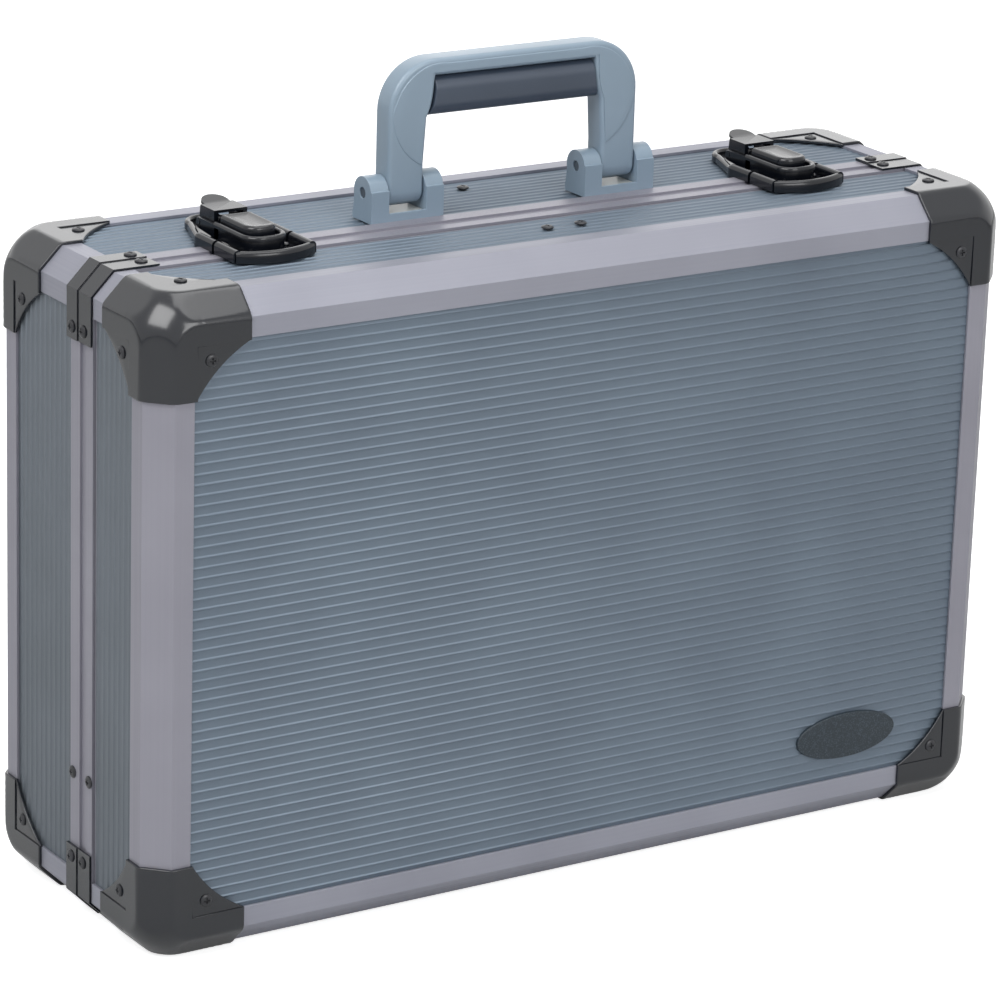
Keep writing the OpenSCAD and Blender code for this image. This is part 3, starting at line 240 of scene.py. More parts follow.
@dataclass(frozen=True)
class MouldedPlastic(Finish):
    """Injection-moulded plastic: one colour through, with the fine sparkle of an eroded mould."""

    grain_mm: float = 0.7
    grain_depth_mm: float = 0.02
    patch_mm: float = 60.0
    coat: float = 0.0

    def shade(self, surface: Surface) -> None:
        """Mould grain that softens the edges' glints, and slight patches of shine."""
        grain = surface.noise(self.grain_mm, detail=3.0)
        patches = surface.noise(self.patch_mm, detail=1.0)
        surface.tint(patches, self.dark, self.light)
        surface.roughen(patches, self.roughness + 0.03, self.roughness - 0.03)
        # the polished moulded skin gives a second, sharper highlight
        surface.values({"IOR": 1.53, "Coat Weight": self.coat, "Coat Roughness": 0.12})
        surface.bump(grain, self.grain_depth_mm, strength=0.6)


@dataclass(frozen=True)
class BlackEnamel(Finish):
    """Stamped steel under baked black enamel: satin, with a faint orange-peel ripple."""

    ripple_mm: float = 2.2
    ripple_depth_mm: float = 0.012
    dust_mm: float = 30.0

    def shade(self, surface: Surface) -> None:
        """A ripple that wavers the highlights, and dust that dulls them in places."""
        ripple = surface.noise(self.ripple_mm, detail=1.0)
        dust = surface.noise(self.dust_mm)
        surface.tint(dust, self.dark, self.light)
        surface.roughen(dust, self.roughness - 0.02, self.roughness + 0.03)
        surface.values({"IOR": 1.5})
        surface.bump(ripple, self.ripple_depth_mm, strength=0.25)


@dataclass(frozen=True)
class ZincPlate(Finish):
    """Zinc on pressed steel: a soft cloudy mirror with small spangle."""

    spangle_mm: float = 1.6

    def shade(self, surface: Surface) -> None:
        """Spangle in the colour and the roughness, which clouds the mirror."""
        spangle = surface.noise(self.spangle_mm)
        surface.tint(spangle, self.dark, self.light)
        surface.roughen(spangle, self.roughness - 0.05, self.roughness + 0.08)
        surface.values({"Metallic": 1.0})


@dataclass(frozen=True)
class FlockedLining(Finish):
    """Short nylon flock on a formed tray: dark, with a soft sheen at a shallow angle."""

    fibre_mm: float = 0.9
    fibre_depth_mm: float = 0.15
    brushed_mm: float = 45.0

    def shade(self, surface: Surface) -> None:
        """Fibre noise under brushed patches, and the sheen of standing fibres."""
        fibres = surface.noise(self.fibre_mm, detail=4.0)
        brushed = surface.noise(self.brushed_mm, detail=3.0)
        nap = add_node(surface.tree, "Math", {"operation": "MULTIPLY"}, links={0: fibres, 1: brushed})
        # the product of two noises lies lower than one of them
        spread = surface.spread(nap.outputs[0], {"From Min": 0.12, "From Max": 0.4})
        surface.tint(spread, self.dark, self.light)
        surface.values({"Roughness": self.roughness, "Sheen Weight": 0.5, "Sheen Roughness": 0.4})
        surface.bump(fibres, self.fibre_depth_mm, strength=0.7)


@dataclass(frozen=True)
class SpeckledLaminate(Finish):
    """Satin slate-coloured laminate, with paler flecks the size of grit."""

    fleck_mm: float = 0.7
    fleck_from: float = 0.5

    def shade(self, surface: Surface) -> None:
        """Flecks picked from the peaks of a noise, which give the face its grit."""
        surface.tint(surface.noise(self.fleck_mm), self.dark, self.light, low=self.fleck_from)
        surface.values({"Roughness": self.roughness})


# the roughness of satin anodising
SATIN = 0.46
SHEET_WIDE = AnodisedAluminium("ribbed aluminium sheet, rolled across", "#64707d", "#6a7784", SATIN,
                               Run.WIDTH)
SHEET_TALL = AnodisedAluminium("ribbed aluminium sheet, rolled upright", "#656c73", "#6b727a", SATIN,
                               Run.HEIGHT)
RAIL_WIDE = AnodisedAluminium("anodised aluminium rail, along the width", "#8e8f9a", "#9798a3", SATIN,
                              Run.WIDTH)
RAIL_DEEP = AnodisedAluminium("anodised aluminium rail, along the depth", "#8e8f9a", "#9798a3", SATIN,
                              Run.DEPTH)
# the upright rails, the band and the rim are painted a little darker and browner than the other rails:
# painted shade, and a painted brown reflection on their side faces
RAIL_TALL_PAINTED_SHADE = AnodisedAluminium("anodised aluminium rail, upright, with painted shade", "#8a8993", "#93929c", SATIN, Run.HEIGHT)
CAP_PLASTIC = MouldedPlastic("black ABS corner cap", "#090d15", "#0d121b", 0.19, 0.6, 0.006, coat=0.3)
HANDLE_PLASTIC = MouldedPlastic("grey-blue nylon handle", "#8698a7", "#8b9dad", 0.3, 0.6, 0.008)
GRIP_RUBBER = MouldedPlastic("soft rubber grip", "#3a4351", "#424c5b", 0.34, 0.45, 0.03)
NYLON_PAD = MouldedPlastic("pale nylon pad", "#a6abaa", "#b2b6b5", 0.4)
LATCH_ENAMEL = BlackEnamel("black enamelled latch steel", "#0b0e14", "#0f1219", 0.2)
SCREW_BLACK = BlackEnamel("black oxide screw", "#1f2024", "#2b2c31", 0.34, 1.2)
ZINC = ZincPlate("zinc plated steel", "#a4a8ac", "#c0c3c6", 0.26)
DULL_ZINC = ZincPlate("dulled zinc pivot pin", "#59626b", "#68717a", 0.48)
LINING_FLOCK = FlockedLining("flocked lining", "#232529", "#30333a", 0.95)
BADGE_LAMINATE = SpeckledLaminate("speckled slate badge", "#1b262e", "#3a4650", 0.45)


class Palette:
    """Makes each finish's material once and hands it out."""

    def __init__(self) -> None:
        """Starts with no materials made."""
        self.made: Dict[str, bpy.types.Material] = {}

    def of(self, finish: Finish) -> bpy.types.Material:
        """The material of a finish, made at its first use."""
        if finish.name not in self.made:
            self.made[finish.name] = finish.material()
        return self.made[finish.name]


PALETTE = Palette()


# Mesh helpers


def paint(piece: bpy.types.Object, finish: Finish) -> None:
    """Gives a piece one finish on all its faces."""
    piece.data.materials.clear()
    piece.data.materials.append(PALETTE.of(finish))


def paint_node(node: str, finish: Finish) -> None:
    """Gives a CAD node that stays in view its finish, in its object's material slots."""
    for slot in frame["nodes"][node].material_slots:
        slot.link = "OBJECT"
        slot.material = PALETTE.of(finish)


def box_of(node: str) -> Tuple[np.ndarray, np.ndarray]:
    """The low and high corners of a CAD node's box, in metres."""
    low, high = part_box(node)
    return np.array(low), np.array(high)


def add_object(name: str, data: bpy.types.ID) -> bpy.types.Object:
    """Adds an object to the scene, at the origin."""
    thing = bpy.data.objects.new(name, data)
    bpy.context.scene.collection.objects.link(thing)
    return thing


def grid_mesh(name: str, points: np.ndarray, crease_deg: float = 0.0) -> bpy.types.Object:
    """Makes a mesh of a grid of points, one closed ring of points per station.

    Args:
        name: the object's name.
        points: array of shape (stations, points a station, 3), in metres.
        crease_deg: edges sharper than this many degrees are shaded sharp; 0 shades all of them smooth.

    Returns:
        The new object, with doubled points merged, so poles are closed.
    """
    rows, columns = points.shape[:2]
    index = np.arange(rows * columns).reshape(rows, columns)
    index = np.concatenate([index, index[:, :1]], axis=1)
    quads = np.stack([index[:-1, :-1], index[:-1, 1:], index[1:, 1:], index[1:, :-1]], axis=-1).reshape(-1, 4)
    mesh = bpy.data.meshes.new(name)
    mesh.from_pydata(points.reshape(-1, 3).tolist(), [], quads.tolist())
    work = bmesh.new()
    work.from_mesh(mesh)
    bmesh.ops.remove_doubles(work, verts=work.verts, dist=MERGED_M)
    bmesh.ops.recalc_face_normals(work, faces=work.faces)
    work.to_mesh(mesh)
    work.free()
    mesh.shade_smooth()
    if crease_deg:
        mesh.set_sharp_from_angle(angle=math.radians(crease_deg))
    return add_object(name, mesh)


def capped(points: np.ndarray) -> np.ndarray:
    """Closes both ends of a sweep: its first and last stations shrink to their middles."""
    first = np.broadcast_to(points[:1].mean(axis=1, keepdims=True), points[:1].shape)
    last = np.broadcast_to(points[-1:].mean(axis=1, keepdims=True), points[-1:].shape)
    return np.concatenate([first, points, last])


def unit(vectors: np.ndarray) -> np.ndarray:
    """Vectors along the last axis, scaled to a length of one."""
    return vectors / np.maximum(np.linalg.norm(vectors, axis=-1, keepdims=True), 1e-12)


def line(start: Sequence[float], end: Sequence[float], count: int) -> np.ndarray:
    """Points from start up to but without end, evenly spaced."""
    share = np.linspace(0, 1, count, endpoint=False)[:, None]
    return np.asarray(start, float) * (1 - share) + np.asarray(end, float) * share


def pairs(first: np.ndarray, second: np.ndarray) -> np.ndarray:
    """Two rows of numbers as an array of shape (points, 2). Either may be one number for all the points."""
    return np.stack(np.broadcast_arrays(first, second), axis=-1)


def arc(centre: Sequence[float], radius: float, start: float, end: float, count: int) -> np.ndarray:
    """Points of a circle from one angle to another, both given in half turns."""
    turn = np.linspace(start, end, count) * math.pi
    return np.asarray(centre) + radius * pairs(np.cos(turn), np.sin(turn))


def quarter(size: float, count: int = 5) -> Tuple[np.ndarray, np.ndarray]:
    """A quarter circle's two courses: 1 - sin t falls from the size to 0, and 1 - cos t rises to it."""
    turn = np.linspace(0, math.pi / 2, count)
    return size * (1 - np.sin(turn)), size * (1 - np.cos(turn))


def mirrored(half: np.ndarray) -> np.ndarray:
    """A path whose last point lies on the middle line, followed back by its mirror image."""
    return np.concatenate([half, half[-2::-1] * [-1, 1]])


def headings(path: np.ndarray) -> np.ndarray:
    """The direction of a path at each of its points: the mean of the directions before and after it."""
    steps = unit(np.diff(path, axis=0))
    return unit(np.concatenate([steps[:1], steps[:-1] + steps[1:], steps[-1:]]))


def moulding(path: np.ndarray, half_width: np.ndarray, low: float, crown: np.ndarray) -> np.ndarray:
    """A ridge with a round top, carried along a path in plan.

    With w the half width and t from 0 to half a turn, the section's top is (w cos t, crown - w + w sin t),
    and its sides go straight down to its foot.

    Args:
        path: array of shape (stations, 2).
        half_width: half the ridge's width at each station, or one number.
        low: height of its foot.
        crown: height of its top at each station, or one number.

    Returns:
        Array of shape (stations + 2, points of the section, 3), closed at both ends.
    """
    across = headings(path) @ TURN_RIGHT
    w = np.broadcast_to(half_width, len(path))[:, None]
    top = np.broadcast_to(crown, len(path))[:, None]
    turn = np.linspace(0, math.pi, RIDGE_STEPS)
    offset = np.concatenate([[1.0], np.cos(turn), [-1.0]]) * w
    foot = np.full_like(w, low)
    height = np.concatenate([foot, top - w + w * np.sin(turn), foot], axis=1)
    flat = path[:, None] + across[:, None] * offset[..., None]
    return capped(np.concatenate([flat, height[..., None]], axis=-1))


def pad(half_a: float, half_b: float, corners: Sequence[float], insets: Sequence[float],
        heights: Sequence[float]) -> np.ndarray:
    """A soft-edged block: its rounded plan is drawn in by an inset at each height.

    Args:
        half_a: half the plan's first side.
        half_b: half its second side.
        corners: the four corner radii.
        insets: how far the plan is drawn in at each station.
        heights: each station's height.

    Returns:
        Array of shape (stations + 2, points, 3), closed at both ends.
    """
    inset = np.asarray(insets, float)
    radii = np.maximum(np.asarray(corners, float) - inset[:, None], LEAST_RADIUS_MM)
    section = rounded_section(half_a - inset, half_b - inset, radii, CORNER_STEPS)
    height = np.broadcast_to(np.asarray(heights, float)[:, None, None], (*section.shape[:2], 1))
    return capped(np.concatenate([section, height], axis=-1))


def prism(outline: np.ndarray, start: float, end: float, edge: float) -> np.ndarray:
    """A plate of a plan in Y and Z, carried along X, with its rims drawn in by a small chamfer.

    Args:
        outline: array of shape (points, 2), a closed loop.
        start: where the plate starts along X.
        end: where it ends.
        edge: size of the chamfer.

    Returns:
        Array of shape (6, points, 3), closed at both ends.
    """
    middle = outline.mean(axis=0)
    smaller = outline + unit(middle - outline) * edge
    rows = [(start, smaller), (start + edge, outline), (end - edge, outline), (end, smaller)]
    return capped(np.stack([np.concatenate([np.full((len(loop), 1), x), loop], axis=1) for x, loop in rows]))


def place(piece: bpy.types.Object, node: str, finish: Finish) -> None:
    """Gives a piece its finish, puts it in the body of a CAD node and hides the node, so the piece stands for
    it.
    """
    paint(piece, finish)
    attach(piece, body_of_node(node))
    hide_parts(node)


def rounded_section(half_a: np.ndarray, half_b: np.ndarray, radius: np.ndarray, count: int = 7) -> np.ndarray:
    """A rounded rectangle at each station.

    Each corner is a quarter circle whose centre lies its radius in from both sides.

    Args:
        half_a: half the section's first side at each station.
        half_b: half its second side.
        radius: its corner radius at each station, or its four corner radii; at most the smaller half side.
        count: points in each quarter circle.

    Returns:
        Array of shape (stations, 4 * count, 2).
    """
    turn = np.concatenate([np.linspace(q, q + 1, count) for q in range(4)]) * math.pi / 2
    sign_a = np.repeat([1.0, -1.0, -1.0, 1.0], count)
    sign_b = np.repeat([1.0, 1.0, -1.0, -1.0], count)
    limit = np.minimum(half_a, half_b)[:, None]
    four = np.broadcast_to(radius.reshape(len(half_a), -1), (len(half_a), 4))
    r = np.repeat(np.minimum(four, limit), count, axis=1)
    a = sign_a * (half_a[:, None] - r) + r * np.cos(turn)
    b = sign_b * (half_b[:, None] - r) + r * np.sin(turn)
    return np.stack([a, b], axis=-1)


def softened(node: str, width_mm: float, finish: Finish, segments: int = 2) -> None:
    """Makes a copy of a CAD node with its sharp edges rounded, which stands for the node.

    Args:
        node: the CAD node.
        width_mm: how far the rounding reaches from each edge.
        finish: the finish of the copy.
        segments: steps across each rounded edge.
    """
    mesh = frame["nodes"][node].data.copy()
    work = bmesh.new()
    work.from_mesh(mesh)
    bmesh.ops.remove_doubles(work, verts=work.verts, dist=CAD_MERGED_M)
    # the faces of one plane become one, so only real edges are left to round
    flat = math.radians(ONE_PLANE_DEG)
    bmesh.ops.dissolve_limit(work, angle_limit=flat, verts=work.verts, edges=work.edges)
    work.to_mesh(mesh)
    work.free()
    mesh.shade_smooth()
    piece = add_object(node + "_rounded", mesh)
    bevel = piece.modifiers.new("edges", "BEVEL")
    bevel.width = width_mm * MM
    bevel.segments = segments
    bevel.limit_method = "ANGLE"
    bevel.angle_limit = math.radians(SHARP_DEG)
    bevel.miter_outer = "MITER_ARC"
    # large flat faces keep their own direction, so the light turns only over the rounded edges
    flats = piece.modifiers.new("flat faces", "WEIGHTED_NORMAL")
    flats.mode = "FACE_AREA"
    flats.weight = 100
    flats.keep_sharp = True
    place(piece, node, finish)


def body_of_node(node: str) -> str:
    """The body that a CAD node belongs to."""
    bodies = frame["record"]["behaviour"]["bodies"]
    return next(name for name, nodes in bodies.items() if node in nodes)


# The case


@dataclass
class RibbedPanel:
    """One wall panel: a board whose outer skin carries rounded ribs.

    The solid's ribs are part of its box, so the board's face lies a solid rib's height inside the box.
    """

    node: str
    along: Run
    across: Run
    out: Run
    outward: int
    finish: AnodisedAluminium
    first_inset_mm: float
    last_inset_mm: float
    rib_inset_mm: float = 8.78
    pitch_mm: float = 4.75
    foot_mm: float = 1.8
    solid_rib_mm: float = 1.0
    rib_mm: float = 0.55
    rib_width_mm: float = 1.7
    fade_mm: float = 0.6
    rib_steps: int = 11

    def build(self) -> None:
        """Builds the panel: one closed section carried along the ribs.

        The section is a flat board. On its outer side each rib is one period of a raised cosine. The ribs'
        height is scaled by a share that is 0 at the board's ends and rises to 1 where the ribs start.
        """
        low, high = box_of(self.node)
        across = (low[self.across.value], high[self.across.value])
        start, stop = across[0] + self.first_inset_mm * MM, across[1] - self.last_inset_mm * MM
        count = int((stop - start - self.foot_mm * MM) / (self.pitch_mm * MM) + 1e-6) + 1
        first = (start + stop - (count - 1) * self.pitch_mm * MM) / 2
        middles = first + self.pitch_mm * MM * np.arange(count)
        wave = np.linspace(-1, 1, self.rib_steps)
        s_ribs = (middles[:, None] + wave * self.rib_width_mm * MM / 2).ravel()
        h_ribs = np.tile((1 + np.cos(wave * math.pi)) / 2, count) * self.rib_mm * MM
        s = np.concatenate([[across[1], across[0], across[0]], s_ribs, [across[1]]])
        h = np.concatenate([[0, 0, 0], h_ribs, [0]])
        if self.outward > 0:
            face, back = high[self.out.value] - self.solid_rib_mm * MM, low[self.out.value]
        else:
            face, back = low[self.out.value] + self.solid_rib_mm * MM, high[self.out.value]
        level = np.full(len(s), face)
        level[:2] = back
        ends = low[self.along.value], high[self.along.value]
        inset, fade = self.rib_inset_mm * MM, self.fade_mm * MM
        stations = np.array([ends[0], ends[0] + inset - fade, ends[0] + inset, ends[1] - inset,
                             ends[1] - inset + fade, ends[1]])
        share = np.array([0.0, 0.0, 1.0, 1.0, 0.0, 0.0])
        points = np.zeros((len(stations), len(s), 3))
        points[..., self.along.value] = stations[:, None]
        points[..., self.across.value] = s
        points[..., self.out.value] = level + self.outward * share[:, None] * h
        place(grid_mesh(self.node + "_ribbed", capped(points), crease_deg=60), self.node, self.finish)


@dataclass
class Panels:
    """The ten ribbed wall panels. The two bottom ones keep their solids, with the hinges' cut-outs."""

    rail_inset_mm: float = 8.78
    seam_inset_mm: float = 0.0
    band_inset_mm: float = 7.0

    def build(self) -> None:
        """Builds the panels, each with the sheet rolled along its ribs."""
        w, d, h = Run.WIDTH, Run.DEPTH, Run.HEIGHT
        full = (self.rail_inset_mm, self.rail_inset_mm)
        lid, base = (self.rail_inset_mm, self.seam_inset_mm), (self.band_inset_mm, self.rail_inset_mm)
        RibbedPanel("lid_front_panel", w, h, d, -1, SHEET_WIDE, *full).build()
        RibbedPanel("base_back_panel", w, h, d, 1, SHEET_WIDE, *full).build()
        for part, insets in (("lid", lid), ("base", base)):
            RibbedPanel(f"{part}_top_panel", w, d, h, 1, SHEET_WIDE, *insets).build()
            RibbedPanel(f"{part}_left_panel", h, d, w, -1, SHEET_TALL, *insets).build()
            RibbedPanel(f"{part}_right_panel", h, d, w, 1, SHEET_TALL, *insets).build()
        for node in ("lid_bottom_panel", "base_bottom_panel"):
            paint_node(node, SHEET_WIDE)


@dataclass
class EdgeRails:
    """The edge rails, the corner rails, the parting band and the lid's rim."""

    edge_mm: float = 0.6
    band_edge_mm: float = 0.25
    rim_edge_mm: float = 0.2

    def build(self) -> None:
        """Rounds and dresses the rails, each with lines along its length."""
        runs = {"edge_top": RAIL_WIDE, "edge_bottom": RAIL_WIDE, "edge_left": RAIL_TALL_PAINTED_SHADE,
                "edge_right": RAIL_TALL_PAINTED_SHADE, "corner_rails": RAIL_DEEP}
        for part in ("lid", "base"):
            for rail, finish in runs.items():
                softened(f"{part}_{rail}", self.edge_mm, finish, segments=3)
        softened("base_band", self.band_edge_mm, RAIL_TALL_PAINTED_SHADE)
        softened("lid_rim", self.rim_edge_mm, RAIL_TALL_PAINTED_SHADE)


@dataclass
class CornerCap:
    """A moulded cap: a ridged body round one corner of the case, and a thinner plate on each of three faces.

    Places are worked out from the corner of the case inwards, before the signs turn them to their corner.
    """

    node: str
    inward: Tuple[int, int, int]
    legs_mm: Tuple[float, float, float] = (47.0, 45.0, 45.0)
    ridge_mm: float = 1.5
    plate_mm: float = 0.9
    reach_mm: float = 20.6
    hollow_mm: float = 2.6
    chamfer_mm: float = 10.5
    centre_mm: float = 22.0
    ball_mm: float = 24.8
    power: float = 130.0
    rim_mm: float = 0.45
    under_mm: float = 0.4
    tuck_mm: float = 0.9
    ball_from: float = 0.15
    ball_fade: float = 0.1
    rows: int = 42
    last_row: float = 0.984
    short_steps: int = 8
    long_steps: int = 22
    chamfer_steps: int = 10
    plate_steps: int = 20

    def skin(self, towards: np.ndarray) -> Tuple[np.ndarray, np.ndarray]:
        """Where rays from the cap's centre meet the case's corner, and the surface's direction there.

        The surface is where a ray meets the nearest of three faces, three chamfers and, where none of the
        ray's parts points away from the corner by more than a little, a ball. Each counts as one over its
        distance along the ray, and a mean with a high power rounds their edges.

        Args:
            towards: unit vectors from the centre, in millimetre space.

        Returns:
            The points in millimetres, and the outward unit normals.
        """
        normals = [-np.eye(3)[i] for i in range(3)] + [-(1 - np.eye(3)[i]) / math.sqrt(2) for i in range(3)]
        chamfer_at = (2 * self.centre_mm - self.chamfer_mm) / math.sqrt(2)
        reach = np.array([self.centre_mm] * 3 + [chamfer_at] * 3)
        planes = np.stack(normals) / reach[:, None]
        nearness = np.maximum(towards @ planes.T, 1e-9)
        inside = np.clip((self.ball_from - towards.max(axis=-1)) / self.ball_fade, 0, 1)[..., None]
        nearness = np.concatenate([nearness, np.maximum(inside / self.ball_mm, 1e-9)], axis=-1)
        top = nearness.max(axis=-1, keepdims=True)
        mean = top * ((nearness / top) ** self.power).sum(axis=-1, keepdims=True) ** (1 / self.power)
        weight = (nearness / top) ** (self.power - 1)
        gradient = weight[..., :6] @ planes + weight[..., 6:] * towards / self.ball_mm
        return self.centre_mm + towards / mean, unit(gradient)

    def outline(self) -> np.ndarray:
        """The body's outline on the case's surface.

        It runs along the ridge's inner edge on each face, and across each chamfer at the legs' ends.

        Returns:
            Array of shape (points, 3) in millimetres, a closed loop.
        """
        c, r = self.chamfer_mm, self.reach_mm
        parts = []
        for out in range(3):
            i, j = (out + 1) % 3, (out + 2) % 3
            a, b = self.legs_mm[i], self.legs_mm[j]
            corners = [(a, c), (a, r), (r, r), (r, b), (c, b)]
            counts = (self.short_steps, self.long_steps, self.long_steps, self.short_steps)
            for start, end, count in zip(corners[:-1], corners[1:], counts):
                points = np.zeros((count, 3))
                points[:, [i, j]] = line(start, end, count)
                parts.append(points)
            points = np.zeros((self.chamfer_steps, 3))
            points[:, [i, out]] = line((c, 0), (0, c), self.chamfer_steps)
            points[:, j] = b
            parts.append(points)
        return np.concatenate(parts)

    def body(self) -> np.ndarray:
        """The body's skin: rows from the corner out to the outline, round its rim and back inside.

        A row turns the corner's direction towards each outline point by a share of the angle between them.

        Returns:
            Array of shape (rows, points, 3) in millimetres.
        """
        pole = -np.ones(3) / math.sqrt(3)
        edge = unit(self.outline() - self.centre_mm)
        angle = np.arccos(np.clip(edge @ pole, -1, 1))[:, None]
        side = unit(edge - np.cos(angle) * pole)

        def ring(share: float) -> Tuple[np.ndarray, np.ndarray]:
            """The skin's points and normals at a share of the angle from the corner to the outline."""
            return self.skin(np.cos(angle * share) * pole + np.sin(angle * share) * side)

        rows = []
        for share in np.append(np.linspace(0, 1, self.rows + 2)[:-2], self.last_row):
            points, normals = ring(share)
            rows.append(points + normals * self.ridge_mm)
        points, normals = ring(1.0)
        away = unit(side - (side * normals).sum(axis=1, keepdims=True) * normals)
        for drawn_in, down in zip(*quarter(self.rim_mm)):
            rows.append(points + normals * (self.ridge_mm - down) - away * drawn_in)
        rows.append(points - normals * self.under_mm)
        for share in (0.75, 0.5, 0.25, 0.0):
            inner, facing = ring(share)
            rows.append(inner - facing * self.under_mm)
        return np.stack(rows)

    def plate(self, out: int) -> np.ndarray:
        """The plate on one face: it spreads from under the ridge to a hollow outer edge with a rounded rim.

        Each column runs from a point of the ridge's edge to one of a hollow parabola between the legs' ends.

        Args:
            out: the axis that the face looks along.

        Returns:
            Array of shape (columns, profile points, 3) in millimetres.
        """
        i, j = (out + 1) % 3, (out + 2) % 3
        r, tuck = self.reach_mm, self.reach_mm - self.tuck_mm
        start, end = np.array([self.legs_mm[i], r]), np.array([r, self.legs_mm[j]])
        inner = np.concatenate([line((start[0], tuck), (tuck, tuck), self.plate_steps),
                                line((tuck, tuck), (tuck, end[1]), self.plate_steps), [[tuck, end[1]]]])
        share = np.linspace(0, 1, len(inner))[:, None]
        chord = end - start
        inwards = unit(np.array([chord[1], -chord[0]]))
        inwards = -inwards if inwards.sum() > 0 else inwards
        outer = start + chord * share + inwards * self.hollow_mm * 4 * share * (1 - share)
        outward = headings(outer) @ TURN_RIGHT
        outward = outward * np.sign((outward @ -inwards).mean())
        flats = [inner * (1 - part) + (outer - outward * self.rim_mm) * part for part in (0.0, 0.33, 0.67)]
        heights = [self.plate_mm] * len(flats)
        for drawn_in, down in zip(*quarter(self.rim_mm)):
            flats.append(outer - outward * drawn_in)
            heights.append(self.plate_mm - down)
        flats += [outer, inner]
        heights += [-self.under_mm] * 2
        flat = np.stack(flats, axis=1)
        points = np.zeros((*flat.shape[:2], 3))
        points[..., [i, j]] = flat
        points[..., out] = -np.array(heights)
        return capped(points)

    def build(self) -> None:
        """Builds the cap's body and plates, which together stand for the CAD node."""
        low, high = box_of(self.node)
        inward = np.array(self.inward)
        corner = np.where(inward > 0, low, high) + inward * self.ridge_mm * MM
        plates = {f"{name}_plate": self.plate(out) for out, name in enumerate(("side", "front", "end"))}
        for name, points in {"body": self.body(), **plates}.items():
            piece = grid_mesh(f"{self.node}_{name}", corner + inward * points * MM, crease_deg=50)
            place(piece, self.node, CAP_PLASTIC)


@dataclass
class CornerPieces:
    """The eight corner caps and the four seam brackets."""

    bracket_edge_mm: float = 0.45

    def build(self) -> None:
        """Builds the moulded corners."""
        for part, back in (("lid", 1), ("base", -1)):
            for level, up in (("top", -1), ("bottom", 1)):
                for side, right in (("left", 1), ("right", -1)):
                    CornerCap(f"{part}_cap_{level}_{side}", (right, back, up)).build()
        softened("seam_brackets", self.bracket_edge_mm, CAP_PLASTIC)


@dataclass
class Fasteners:
    """Screws and rivets of the lid and the base."""

    edge_mm: float = 0.15

    def build(self) -> None:
        """Dresses the screws."""
        for node in ("lid_screws", "base_screws"):
            softened(node, self.edge_mm, SCREW_BLACK)


